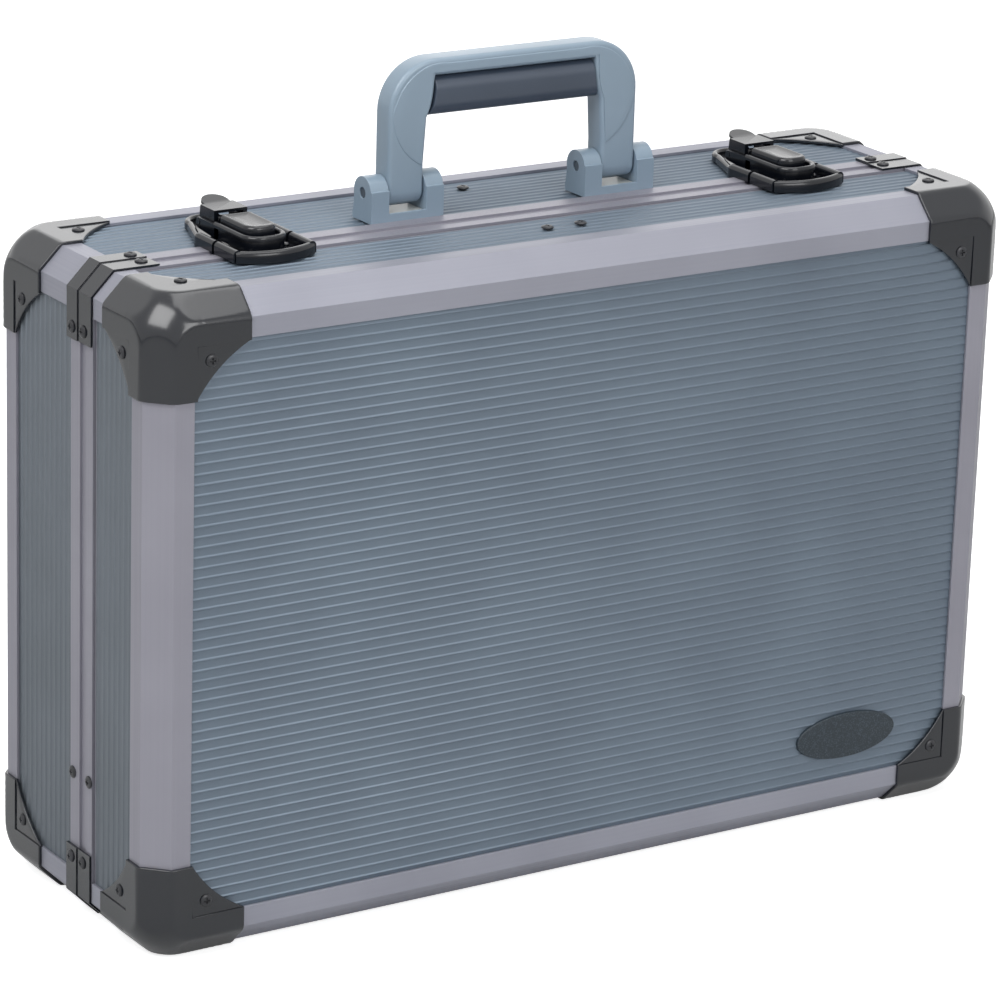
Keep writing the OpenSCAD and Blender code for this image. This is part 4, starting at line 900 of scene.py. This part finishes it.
@dataclass
class TopHandle:
    """The folding handle: arch, grip, mounts, pins and pads.

    The arch is drawn on its right half, in X and Z, and mirrored. Its cheeks are the low raised faces round
    the grip.
    """

    corner_mm: float = 24.0
    bar_mm: float = 8.0
    arm_mm: float = 19.0
    edge_mm: float = 2.2
    flare_mm: float = 3.5
    slant_from_mm: float = 12.0
    grip_gap_mm: float = 0.4
    grip_edge_mm: float = 6.6
    mount_edge_mm: float = 1.4
    pin_edge_mm: float = 0.4
    pad_edge_mm: float = 0.3
    plate_edge_mm: float = 0.2
    cheek_mm: float = 0.35
    cheek_rim_mm: float = 0.45
    cheek_sunk_mm: float = 0.9
    cheek_from_x_mm: float = 37.5
    cheek_from_top_mm: float = 23.5
    cheek_side_mm: float = 28.4
    cheek_top_mm: float = 21.2
    cheek_inset_mm: float = 1.8
    cheek_tip_mm: float = 0.5
    cheek_search_deg: Tuple[float, float] = (-85.0, -30.0)
    cheek_tries: int = 221
    cheek_power: float = 0.8
    end_steps: int = 9
    arm_steps: int = 11
    bend_steps: int = 14
    bar_steps: int = 6
    cheek_steps: int = 40
    cheek_arm_steps: int = 16
    cheek_bar_steps: int = 8
    grip_steps: int = 41
    grip_end: Tuple[float, ...] = (0.0, 0.6, 0.9, 0.97)

    def __post_init__(self) -> None:
        """Reads the solids' places, and works out the lines that the arch and its cheeks share."""
        self.low, self.high = box_of("handle_arch")
        self.grip_low, self.grip_high = box_of("handle_grip")
        self.inner_x = self.high[0] - self.arm_mm * MM
        self.pocket_z = self.high[2] - self.bar_mm * MM
        self.pocket_x = self.grip_high[0] + self.grip_gap_mm * MM
        self.flare = self.flare_mm * MM
        self.half_depth = (self.high[1] - self.low[1]) / 2

    def arm_edge(self, z: np.ndarray) -> np.ndarray:
        """The right arm's inner edge: straight up from the pivot, then slanted to the grip's lower corner.

        Args:
            z: heights in metres.

        Returns:
            The edge's place along X at each height.
        """
        start = self.low[2] + self.half_depth + (self.slant_from_mm - self.cheek_mm) * MM
        share = np.clip((z - start) / (self.grip_low[2] - start), 0, 1)
        return self.inner_x + (self.pocket_x - self.inner_x) * share

    def pocket(self, inset: float = 0.0) -> np.ndarray:
        """The edge round the grip's end, from its lower corner up: it flares with the cube of its depth.

        Args:
            inset: how far the edge is moved into the arch, in metres.

        Returns:
            Array of shape (bend_steps, 2), in X and Z.
        """
        rise = np.linspace(0, 1, self.bend_steps + 1)[1:]
        x = self.pocket_x + inset - self.flare + self.flare * (1 - rise) ** 3
        bottom, top = self.grip_low[2], self.pocket_z + inset
        return pairs(x, bottom + (top - bottom) * rise)

    def arch(self) -> None:
        """Builds the arch: a rounded section carried up one arm, round its corners and down the other.

        At each station an outer point runs up the outside, round a quarter circle and along the top, and an
        inner point runs up the inside and along the pocket over the grip. The section spans the two points
        and the handle's depth. Below the pivots the depth shrinks as a circle, which closes the arms' ends.
        """
        half_depth = self.half_depth - self.cheek_mm * MM
        pivot_z = self.low[2] + half_depth
        corner = self.corner_mm * MM
        bend_x, bend_z = self.high[0] - corner, self.high[2] - corner
        sweep = np.linspace(-math.pi / 2, 0, self.end_steps)
        end_z = pivot_z + half_depth * np.sin(sweep)
        arm = np.linspace(0, 1, self.arm_steps + 1)[1:]
        inner_z = pivot_z + arm * (self.grip_low[2] - pivot_z)
        outer = np.concatenate([pairs(self.high[0], end_z),
                                pairs(self.high[0], pivot_z + arm * (bend_z - pivot_z)),
                                arc((bend_x, bend_z), corner, 0, 0.5, self.bend_steps + 1)[1:]])
        inner = np.concatenate([pairs(self.inner_x, end_z), pairs(self.arm_edge(inner_z), inner_z),
                                self.pocket()])
        half_bar = np.linspace(1, 0, self.bar_steps + 1)[1:]
        outer = mirrored(np.concatenate([outer, pairs(half_bar * outer[-1, 0], self.high[2])]))
        inner = mirrored(np.concatenate([inner, pairs(half_bar * inner[-1, 0], self.pocket_z)]))
        depth = np.full(len(outer), half_depth)
        depth[:len(sweep)] = half_depth * np.cos(sweep)
        depth[-len(sweep):] = depth[:len(sweep)][::-1]
        centre = (outer + inner) / 2
        half_width = np.linalg.norm(outer - inner, axis=1) / 2
        across = (outer - inner) / (2 * half_width[:, None])
        section = rounded_section(half_width, depth, np.full(len(centre), self.edge_mm * MM))
        flat = centre[:, None] + across[:, None] * section[..., :1]
        y = (self.low[1] + self.high[1]) / 2 + section[..., 1]
        piece = grid_mesh("handle_arch_moulded", np.stack([flat[..., 0], y, flat[..., 1]], axis=-1))
        paint(piece, HANDLE_PLASTIC)
        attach(piece, "handle")
        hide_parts("handle_arch")

    def cheek_outline(self) -> np.ndarray:
        """The outer line of the raised face, from its tip on the arm up and round to over the grip's end.

        It is drawn about a centre under the bend. From the top bar down to the arm its distance grows from
        the top value to the side value with a power of the angle, and stays there until the line comes within
        the tip's width of the inner one.

        Returns:
            Array of shape (cheek_steps, 2), in X and Z.
        """
        centre = np.array([self.cheek_from_x_mm * MM, self.high[2] - self.cheek_from_top_mm * MM])
        first, last = (degrees / 180 for degrees in self.cheek_search_deg)
        tries = np.linspace(first, last, self.cheek_tries)
        at = arc(centre, self.cheek_side_mm * MM, first, last, len(tries))
        clear = at[:, 0] - self.arm_edge(at[:, 1]) - self.cheek_inset_mm * MM > self.cheek_tip_mm * MM
        turn = np.linspace(tries[np.argmax(clear)], 0.5, self.cheek_steps) * math.pi
        share = np.clip(turn / (math.pi / 2), 0, 1)[:, None] ** self.cheek_power
        radius = (self.cheek_side_mm + (self.cheek_top_mm - self.cheek_side_mm) * share) * MM
        return centre + radius * pairs(np.cos(turn), np.sin(turn))

    def cheek(self, facing: int) -> None:
        """Builds the low raised face round the grip, on one side of the arch.

        Its inner line follows the arm's inner edge and the pocket. Each column runs from the inner line to
        the outer one, over a rounded rim and into the arch.

        Args:
            facing: -1 for the front, 1 for the back.
        """
        inset, rim, sunk = self.cheek_inset_mm * MM, self.cheek_rim_mm * MM, self.cheek_sunk_mm * MM
        outer = self.cheek_outline()
        arm_z = np.linspace(outer[0, 1], self.grip_low[2], self.cheek_arm_steps)
        pocket = self.pocket(inset)
        last_x, last_z = pocket[-1]
        share = np.linspace(0, 1, len(outer) - len(arm_z) - len(pocket) + 2)[1:-1]
        under = pairs(last_x * (1 - share) + outer[-1, 0] * share, last_z)
        inner = np.concatenate([pairs(self.arm_edge(arm_z) + inset, arm_z), pocket, under])
        inner_bar = np.linspace(1, 0, self.cheek_bar_steps) * outer[-1, 0]
        inner = mirrored(np.concatenate([inner, pairs(inner_bar, last_z)]))
        outer_bar = np.linspace(1, 0, self.cheek_bar_steps + 1)[1:] * outer[-1, 0]
        outer = mirrored(np.concatenate([outer, pairs(outer_bar, outer[-1, 1])]))
        outward = headings(outer) @ TURN_RIGHT
        flats, depths = [inner, inner], [-sunk, 0.0]
        for part in (0.35, 0.7):
            flats.append(inner * (1 - part) + (outer - outward * rim) * part)
            depths.append(0.0)
        for drawn_in, down in zip(*quarter(rim)):
            flats.append(outer - outward * drawn_in)
            depths.append(-down)
        flats.append(outer)
        depths.append(-sunk)
        flat = np.stack(flats, axis=1)
        level = self.high[1] if facing > 0 else self.low[1]
        y = np.broadcast_to(level + facing * np.array(depths), flat.shape[:2])
        points = np.stack([flat[..., 0], y, flat[..., 1]], axis=-1)
        name = "handle_cheek_" + ("back" if facing > 0 else "front")
        place(grid_mesh(name, capped(points), crease_deg=50), "handle_arch", HANDLE_PLASTIC)

    def grip(self) -> None:
        """Builds the grip: a rounded bar whose ends flare with the pocket that holds it.

        A rounded rectangle in Y and Z is carried along X. Each point's reach along X grows with the cube of
        its depth below the top, and the section shrinks over the last stations, which rounds the ends.
        """
        half = (self.grip_high - self.grip_low) / 2
        middle = (self.grip_low + self.grip_high) / 2
        share = np.sin(np.linspace(-1, 1, self.grip_steps) * math.pi / 2)
        steps = len(self.grip_end)
        share = np.concatenate([[-1.0] * (steps - 1), share, [1.0] * (steps - 1)])
        shrink = np.ones(len(share))
        shrink[:steps] = self.grip_end
        shrink[-steps:] = self.grip_end[::-1]
        sizes = (half[1], half[2], self.grip_edge_mm * MM)
        half_y, half_z, edge = (np.full(len(share), value) for value in sizes)
        section = rounded_section(half_y, half_z, edge, CORNER_STEPS) * shrink[:, None, None]
        depth = (half[2] - section[..., 1]) / (2 * half[2])
        reach = self.grip_high[0] - self.flare + self.flare * depth ** 3
        points = np.concatenate([(share[:, None] * reach)[..., None], middle[1:] + section], axis=-1)
        piece = grid_mesh("handle_grip_moulded", points)
        paint(piece, GRIP_RUBBER)
        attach(piece, "handle")
        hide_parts("handle_grip")

    def build(self) -> None:
        """Builds and dresses the handle and what carries it."""
        self.arch()
        for facing in (-1, 1):
            self.cheek(facing)
        self.grip()
        for side in ("left", "right"):
            softened(f"handle_mount_{side}", self.mount_edge_mm, HANDLE_PLASTIC, segments=3)
        softened("handle_pins", self.pin_edge_mm, DULL_ZINC)
        softened("handle_stops", self.pad_edge_mm, NYLON_PAD)
        softened("handle_backing_plates", self.plate_edge_mm, ZINC)


@dataclass
class DrawLatch:
    """One draw latch: the strike on the lid, the plate on the base, the claw and the lever.

    Lengths run back from the strike's front edge, and heights up from the top of the case.
    """

    side: str
    half_mm: float = 21.0
    sheet_mm: float = 1.2
    bow_mm: float = 6.5
    roll_mm: float = 2.1
    roll_top_mm: float = 5.8
    bow_top_mm: float = 5.3
    strike_back_mm: float = 16.1
    plate_front_mm: float = 17.5
    joint_mm: float = 25.65
    joint_gap_mm: float = 0.3
    roll_low_mm: float = 0.3
    tail_start_mm: float = 41.5
    tail_centre_mm: float = 65.5
    tail_mm: float = 11.5
    tail_rim_mm: float = 1.5
    tail_top_mm: float = 4.0
    tail_fade_mm: float = 4.0
    ear_mm: Tuple[float, float] = (4.6, 6.2)
    lever_pivot_mm: Tuple[float, float] = (49.5, 8.3)
    lever_eye_mm: float = 2.8
    ear_foot_mm: float = 5.0
    plate_chamfer_mm: float = 0.2
    claw_half_mm: float = 10.4
    claw_front_mm: float = 10.5
    claw_back_mm: float = 43.0
    claw_corner_mm: float = 8.0
    claw_low_mm: float = 2.0
    claw_top_mm: float = 9.3
    claw_bead_mm: float = 1.35
    claw_bead_foot: float = 1.8
    claw_wall_mm: float = 1.6
    claw_pivot_mm: Tuple[float, float] = (57.5, 5.5)
    claw_boss_mm: float = 2.6
    claw_foot_mm: float = 4.0
    claw_back_corner_mm: float = 0.6
    tray_below_mm: Tuple[float, float] = (3.2, 1.9)
    deck_half_mm: float = 8.0
    deck_front_mm: float = 15.8
    deck_top_mm: float = 12.4
    deck_round_mm: float = 1.7
    deck_below_mm: float = 2.2
    deck_corners_mm: Tuple[float, float, float, float] = (1.9, 1.9, 6.4, 6.4)
    deck_crown_in_mm: Tuple[float, ...] = (0.5, 1.2, 3.0, 4.5)
    deck_crown_down_mm: Tuple[float, ...] = (0.12, 0.35, 0.6, 0.7)
    lever_edge_mm: float = 0.5
    bow_steps: int = 41
    side_steps: int = 12
    taper_steps: int = 24
    round_steps: int = 14
    eye_steps: int = 13
    strike_sheet_steps: int = 31
    plate_sheet_steps: int = 61

    def put(self, name: str, points: np.ndarray, node: str) -> None:
        """Places a piece of the latch, given in millimetres about its own origin, for a CAD node."""
        low, high = box_of(f"strike_{self.side}")
        origin = np.array([(low[0] + high[0]) / 2, low[1], low[2]])
        piece = grid_mesh(f"latch_{self.side}_{name}", origin + points * MM, crease_deg=40)
        place(piece, f"{node}_{self.side}", LATCH_ENAMEL)

    def sheet(self, x: np.ndarray, front: np.ndarray, back: np.ndarray) -> np.ndarray:
        """A flat sheet between two edges: at each place across, four points span front to back.

        Args:
            x: places across the latch.
            front: the front edge at each place, or one number.
            back: the back edge at each place, or one number.

        Returns:
            Array of shape (places + 2, 4, 3), closed at both ends.
        """
        low, high = self.sheet_mm / 2, self.sheet_mm
        edges = ((front, low), (front, high), (back, high), (back, low))
        return capped(np.stack([np.stack(np.broadcast_arrays(x, y, z), axis=1) for y, z in edges], axis=1))

    def on_both_sides(self, name: str, outline: np.ndarray, ends_mm: Tuple[float, float], node: str) -> None:
        """Places a plate on each side of the latch.

        Args:
            name: the plates' name, with a pair of braces where the side's name goes.
            outline: the plate's outline in Y and Z.
            ends_mm: where it starts and ends, as distances from the latch's middle.
            node: the CAD node that it stands for.
        """
        for side, sign in (("inner", -1), ("outer", 1)):
            near, far = sorted(sign * end for end in ends_mm)
            self.put(name.format(side), prism(outline, near, far, self.plate_chamfer_mm), node)

    def strike(self) -> None:
        """The strike: a sheet behind a bowed roll, and a straight roll on each side.

        The bow is an arc of a circle through both front corners: with R its radius and r the roll's half
        width, the roll's middle is ((R - r) sin t, R - (R - r) cos t).
        """
        radius = (self.half_mm ** 2 + self.bow_mm ** 2) / (2 * self.bow_mm)
        middle = radius - self.roll_mm
        reach = math.asin((self.half_mm - self.roll_mm) / middle)
        turn = np.linspace(-reach, reach, self.bow_steps)
        bow = pairs(middle * np.sin(turn), radius - middle * np.cos(turn))
        self.put("strike_bow", moulding(bow, self.roll_mm, 0.0, self.bow_top_mm), "strike")
        x = np.linspace(-1, 1, self.strike_sheet_steps) * (self.half_mm - self.roll_mm)
        front = radius - np.sqrt(radius ** 2 - x ** 2) + self.roll_mm
        self.put("strike_sheet", self.sheet(x, front, self.strike_back_mm), "strike")
        for name, sign in (("inner", -1), ("outer", 1)):
            across = sign * (self.half_mm - self.roll_mm)
            path = line((across, self.bow_mm), (across, self.joint_mm), self.side_steps)
            roll = moulding(path, self.roll_mm, self.roll_low_mm, self.roll_top_mm)
            self.put(f"strike_{name}_roll", roll, "strike")

    def plate(self) -> None:
        """The base plate: a sheet with a rounded tail, its rim, and the lever's two ears.

        The rim follows the side, then the straight taper to the tail, then the tail's half circle. Its width
        and height shrink from the side's to the tail's along the taper's first part.
        """
        start = self.joint_mm + self.joint_gap_mm
        shoulder = (self.half_mm - self.roll_mm, self.tail_start_mm)
        tail = self.tail_mm - self.tail_rim_mm
        path = mirrored(np.concatenate([line((shoulder[0], start), shoulder, self.side_steps),
                                        line(shoulder, (tail, self.tail_centre_mm), self.taper_steps),
                                        arc((0, self.tail_centre_mm), tail, 0, 0.5, self.round_steps)]))
        fade = np.clip((path[:, 1] - self.tail_start_mm) / self.tail_fade_mm, 0, 1)
        width = self.roll_mm + (self.tail_rim_mm - self.roll_mm) * fade
        crown = self.roll_top_mm + (self.tail_top_mm - self.roll_top_mm) * fade
        self.put("plate_rim", moulding(path, width, 0.0, crown), "latch_plate")
        x = np.linspace(-1, 1, self.plate_sheet_steps) * (self.half_mm - self.roll_mm)
        taper = (self.half_mm - np.abs(x)) / (self.half_mm - self.tail_mm)
        straight = self.tail_start_mm + taper * (self.tail_centre_mm - self.tail_start_mm)
        rounded = self.tail_centre_mm + np.sqrt(np.maximum(self.tail_mm ** 2 - x ** 2, 0))
        back = np.where(np.abs(x) < self.tail_mm, rounded, straight) - self.tail_rim_mm
        self.put("plate_sheet", self.sheet(x, self.plate_front_mm, back), "latch_plate")
        middle, low = self.lever_pivot_mm[0], self.sheet_mm / 2
        eye = arc(self.lever_pivot_mm, self.lever_eye_mm, -0.15, 1.15, self.eye_steps)
        ear = np.concatenate([eye, [(middle - self.ear_foot_mm, low), (middle + self.ear_foot_mm, low)]])
        self.on_both_sides("plate_{}_ear", ear, self.ear_mm, "latch_plate")

    def loop(self, inset: float) -> np.ndarray:
        """The claw's outline in plan, drawn in by an inset: back along a side, round the front, and back."""
        middle = self.claw_half_mm - self.claw_corner_mm
        start = self.claw_front_mm + self.claw_corner_mm
        radius = self.claw_corner_mm - inset
        back = (self.claw_half_mm - inset, self.claw_back_mm)
        return mirrored(np.concatenate([line(back, (middle + radius, start), self.side_steps),
                                        arc((middle, start), radius, 0, -0.5, self.round_steps),
                                        [[0.0, self.claw_front_mm + inset]]]))

    def claw(self) -> None:
        """The claw: a wall with a rolled bead, a tray and a soft deck in it, and two arms with bosses."""
        wall, bead, top, back = self.claw_wall_mm / 2, self.claw_bead_mm, self.claw_top_mm, self.claw_back_mm
        half_length, middle = (back - self.claw_front_mm) / 2, (self.claw_front_mm + back) / 2
        path, bead_foot = self.loop(wall), top - self.claw_bead_foot * bead
        self.put("claw_wall", moulding(path, wall, self.claw_low_mm, top - bead), "latch_claw")
        self.put("claw_bead", moulding(path, bead, bead_foot, top), "latch_claw")
        corners = [self.claw_back_corner_mm] * 2 + [self.claw_corner_mm] * 2
        heights = top - np.array(self.tray_below_mm)
        tray = pad(self.claw_half_mm - wall, half_length - wall, corners, (0, 0), heights)
        self.put("claw_tray", tray + [0, middle, 0], "latch_claw")
        down, drawn_in = quarter(self.deck_round_mm, 7)
        insets = np.concatenate([[0.0], drawn_in, self.deck_round_mm + np.array(self.deck_crown_in_mm)])
        heights = np.concatenate([[top - self.deck_below_mm], self.deck_top_mm - down,
                                  self.deck_top_mm - np.array(self.deck_crown_down_mm)])
        deck = pad(self.deck_half_mm, (back - self.deck_front_mm) / 2, self.deck_corners_mm, insets, heights)
        self.put("claw_deck", deck + [0, (back + self.deck_front_mm) / 2, 0], "latch_claw")
        foot = self.claw_foot_mm
        arm = np.concatenate([arc(self.claw_pivot_mm, self.claw_boss_mm, -0.5, 0.5, self.eye_steps),
                              [[back, top - bead], [back - foot, top - bead], [back - foot, self.claw_low_mm],
                               [back + foot, self.claw_low_mm]]])
        ends = (self.claw_half_mm - self.claw_wall_mm, self.claw_half_mm)
        self.on_both_sides("claw_{}_arm", arm, ends, "latch_claw")

    def build(self) -> None:
        """Builds the latch."""
        self.strike()
        self.plate()
        self.claw()
        softened(f"latch_lever_{self.side}", self.lever_edge_mm, LATCH_ENAMEL, segments=3)


@dataclass
class DrawLatches:
    """The two draw latches on top, and their pins."""

    pin_edge_mm: float = 0.2

    def build(self) -> None:
        """Builds both latches."""
        for side in ("left", "right"):
            DrawLatch(side).build()
        softened("latch_pins", self.pin_edge_mm, LATCH_ENAMEL)


@dataclass
class Badge:
    """The bare oval plate on the front panel."""

    edge_mm: float = 0.5
    half_height_mm: float = 11.4
    steps: int = 96

    def build(self) -> None:
        """Builds it: an ellipse carried outwards, then drawn in over a quarter circle to its flat face."""
        low, high = box_of("badge_plate")
        middle = (low + high) / 2
        down, drawn_in = quarter(self.edge_mm * MM, 6)
        inset = np.append(0.0, drawn_in)[:, None]
        depth = np.append(high[1], low[1] + down)[:, None]
        turn = np.linspace(0, 2 * math.pi, self.steps, endpoint=False)
        x = middle[0] + ((high[0] - low[0]) / 2 - inset) * np.cos(turn)
        z = middle[2] + (self.half_height_mm * MM - inset) * np.sin(turn)
        points = np.stack(np.broadcast_arrays(x, depth, z), axis=-1)
        place(grid_mesh("badge_oval", capped(points), crease_deg=50), "badge_plate", BADGE_LAMINATE)


@dataclass
class HingesAndStays:
    """The bottom hinges and the two stays that hold the lid when it is open."""

    edge_mm: float = 0.25

    def build(self) -> None:
        """Rounds and dresses the pressed steel pieces."""
        for node in ("lid_hinge_leaves", "base_hinge_leaves", "hinge_pins", "stay_brackets", "stay_tracks",
                     "stay_arm_left", "stay_arm_right"):
            softened(node, self.edge_mm, ZINC)


@dataclass
class Linings:
    """The flocked trays inside the lid and the base."""

    edge_mm: float = 1.2

    def build(self) -> None:
        """Rounds and dresses the trays."""
        for node in ("lid_lining", "base_lining"):
            softened(node, self.edge_mm, LINING_FLOCK, segments=3)


# Camera, floor and lights


@dataclass(frozen=True)
class Lamp:
    """A square soft lamp that faces the case."""

    name: str
    at_mm: Tuple[float, float, float]
    size_mm: float
    watts: float


@dataclass
class Studio:
    """The camera at the photograph's viewing angle, a plain pale floor and soft lamps."""

    camera_at_mm: Tuple[float, float, float] = (-1126.3, -1727.2, 836.5)
    camera_aim_mm: Tuple[float, float, float] = (-28.2, -37.2, 178.9)
    roll_deg: float = 1.805
    lens_mm: float = 165.6
    sensor_mm: float = 36.0
    lamp_aim_mm: Tuple[float, float, float] = (0.0, 0.0, 160.0)
    lamps: Tuple[Lamp, ...] = (
        Lamp("upper left softbox", (-1500, -560, 2000), 1550, 41),
        Lamp("front softbox", (300, -2500, 1500), 1500, 28),
        Lamp("overhead softbox", (450, -150, 2600), 1600, 20),
        Lamp("back softbox", (1300, 2400, 1500), 2400, 12))
    floor_mm: float = 9000.0
    floor_colour: str = "#dcdddd"
    floor_glow: float = 0.78
    floor_mirrored: float = 0.08
    sky_light: float = 0.16
    sky_seen: float = 1.0

    def facing(self, at_mm: Sequence[float], aim_mm: Sequence[float]) -> Matrix:
        """The matrix of a thing that stands at one point and looks at another, upright."""
        at, aim = Vector(at_mm) * MM, Vector(aim_mm) * MM
        return Matrix.Translation(at) @ (aim - at).to_track_quat("-Z", "Y").to_matrix().to_4x4()

    def camera(self) -> None:
        """Sets the camera: it looks from its place to its aim, then rolls about its own axis."""
        data = bpy.data.cameras.new("photo camera")
        data.lens = self.lens_mm
        data.sensor_width = self.sensor_mm
        data.clip_end = 50.0
        eye = add_object("photo camera", data)
        roll = Matrix.Rotation(math.radians(self.roll_deg), 4, "Z")
        eye.matrix_world = self.facing(self.camera_at_mm, self.camera_aim_mm) @ roll
        bpy.context.scene.camera = eye

    def floor(self) -> None:
        """A pale floor that keeps the shadow, and shows as plain white away from it."""
        half = self.floor_mm * MM / 2
        corners = [(-half, -half, 0), (half, -half, 0), (half, half, 0), (-half, half, 0)]
        mesh = bpy.data.meshes.new("floor")
        mesh.from_pydata(corners, [], [(0, 1, 2, 3)])
        ground = add_object("floor", mesh)
        surface = Surface("plain pale floor")
        surface.values({"Base Color": linear(self.floor_colour), "Roughness": 0.9})
        tree = surface.tree
        ray = add_node(tree, "LightPath").outputs
        mirrored_glow = add_node(tree, "Math", {"operation": "MULTIPLY"}, inputs={1: self.floor_mirrored},
                                 links={0: ray["Is Glossy Ray"]})
        strength = add_node(tree, "Math", {"operation": "MULTIPLY_ADD"}, inputs={1: self.floor_glow},
                            links={0: ray["Is Camera Ray"], 2: mirrored_glow.outputs[0]})
        glow = add_node(tree, "Emission", links={"Strength": strength.outputs[0]})
        both = add_node(tree, "AddShader",
                        links={0: surface.shader.outputs["BSDF"], 1: glow.outputs["Emission"]})
        tree.links.new(both.outputs["Shader"], surface.output.inputs["Surface"])
        mesh.materials.append(surface.material)

    def world(self) -> None:
        """White to the camera and in reflections, and a softer grey as light."""
        world = bpy.data.worlds.new("studio")
        world.use_nodes = True
        tree = world.node_tree
        tree.nodes.clear()
        ray = add_node(tree, "LightPath").outputs
        seen = add_node(tree, "Math", {"operation": "MAXIMUM"},
                        links={0: ray["Is Camera Ray"], 1: ray["Is Glossy Ray"]})
        clear = add_node(tree, "Math", {"operation": "MAXIMUM"},
                         links={0: seen.outputs[0], 1: ray["Is Transmission Ray"]})
        strength = add_node(tree, "MapRange", inputs={"To Min": self.sky_light, "To Max": self.sky_seen},
                            links={"Value": clear.outputs[0]})
        sky = add_node(tree, "Background", inputs={"Color": (1, 1, 1, 1)},
                       links={"Strength": strength.outputs["Result"]})
        add_node(tree, "OutputWorld", links={"Surface": sky.outputs["Background"]})
        bpy.context.scene.world = world

    def build(self) -> None:
        """Builds the studio."""
        self.camera()
        self.floor()
        self.world()
        for lamp in self.lamps:
            data = bpy.data.lights.new(lamp.name, "AREA")
            data.size = lamp.size_mm * MM
            data.energy = lamp.watts
            add_object(lamp.name, data).matrix_world = self.facing(lamp.at_mm, self.lamp_aim_mm)
        bpy.context.scene.view_settings.view_transform = "Standard"


class SubAssembly(Protocol):
    """What every sub-assembly offers."""

    def build(self) -> None:
        """Builds and dresses its pieces."""


def main() -> None:
    logging.basicConfig(level=logging.INFO, format="%(message)s")
    parts: List[SubAssembly] = [Panels(), EdgeRails(), CornerPieces(), Fasteners(), TopHandle(),
                                DrawLatches(), Badge(), HingesAndStays(), Linings(), Studio()]
    for part in parts:
        part.build()
        LOG.info("built %s", type(part).__name__)
    bpy.context.view_layer.update()


if __name__ == "__main__":
    main()
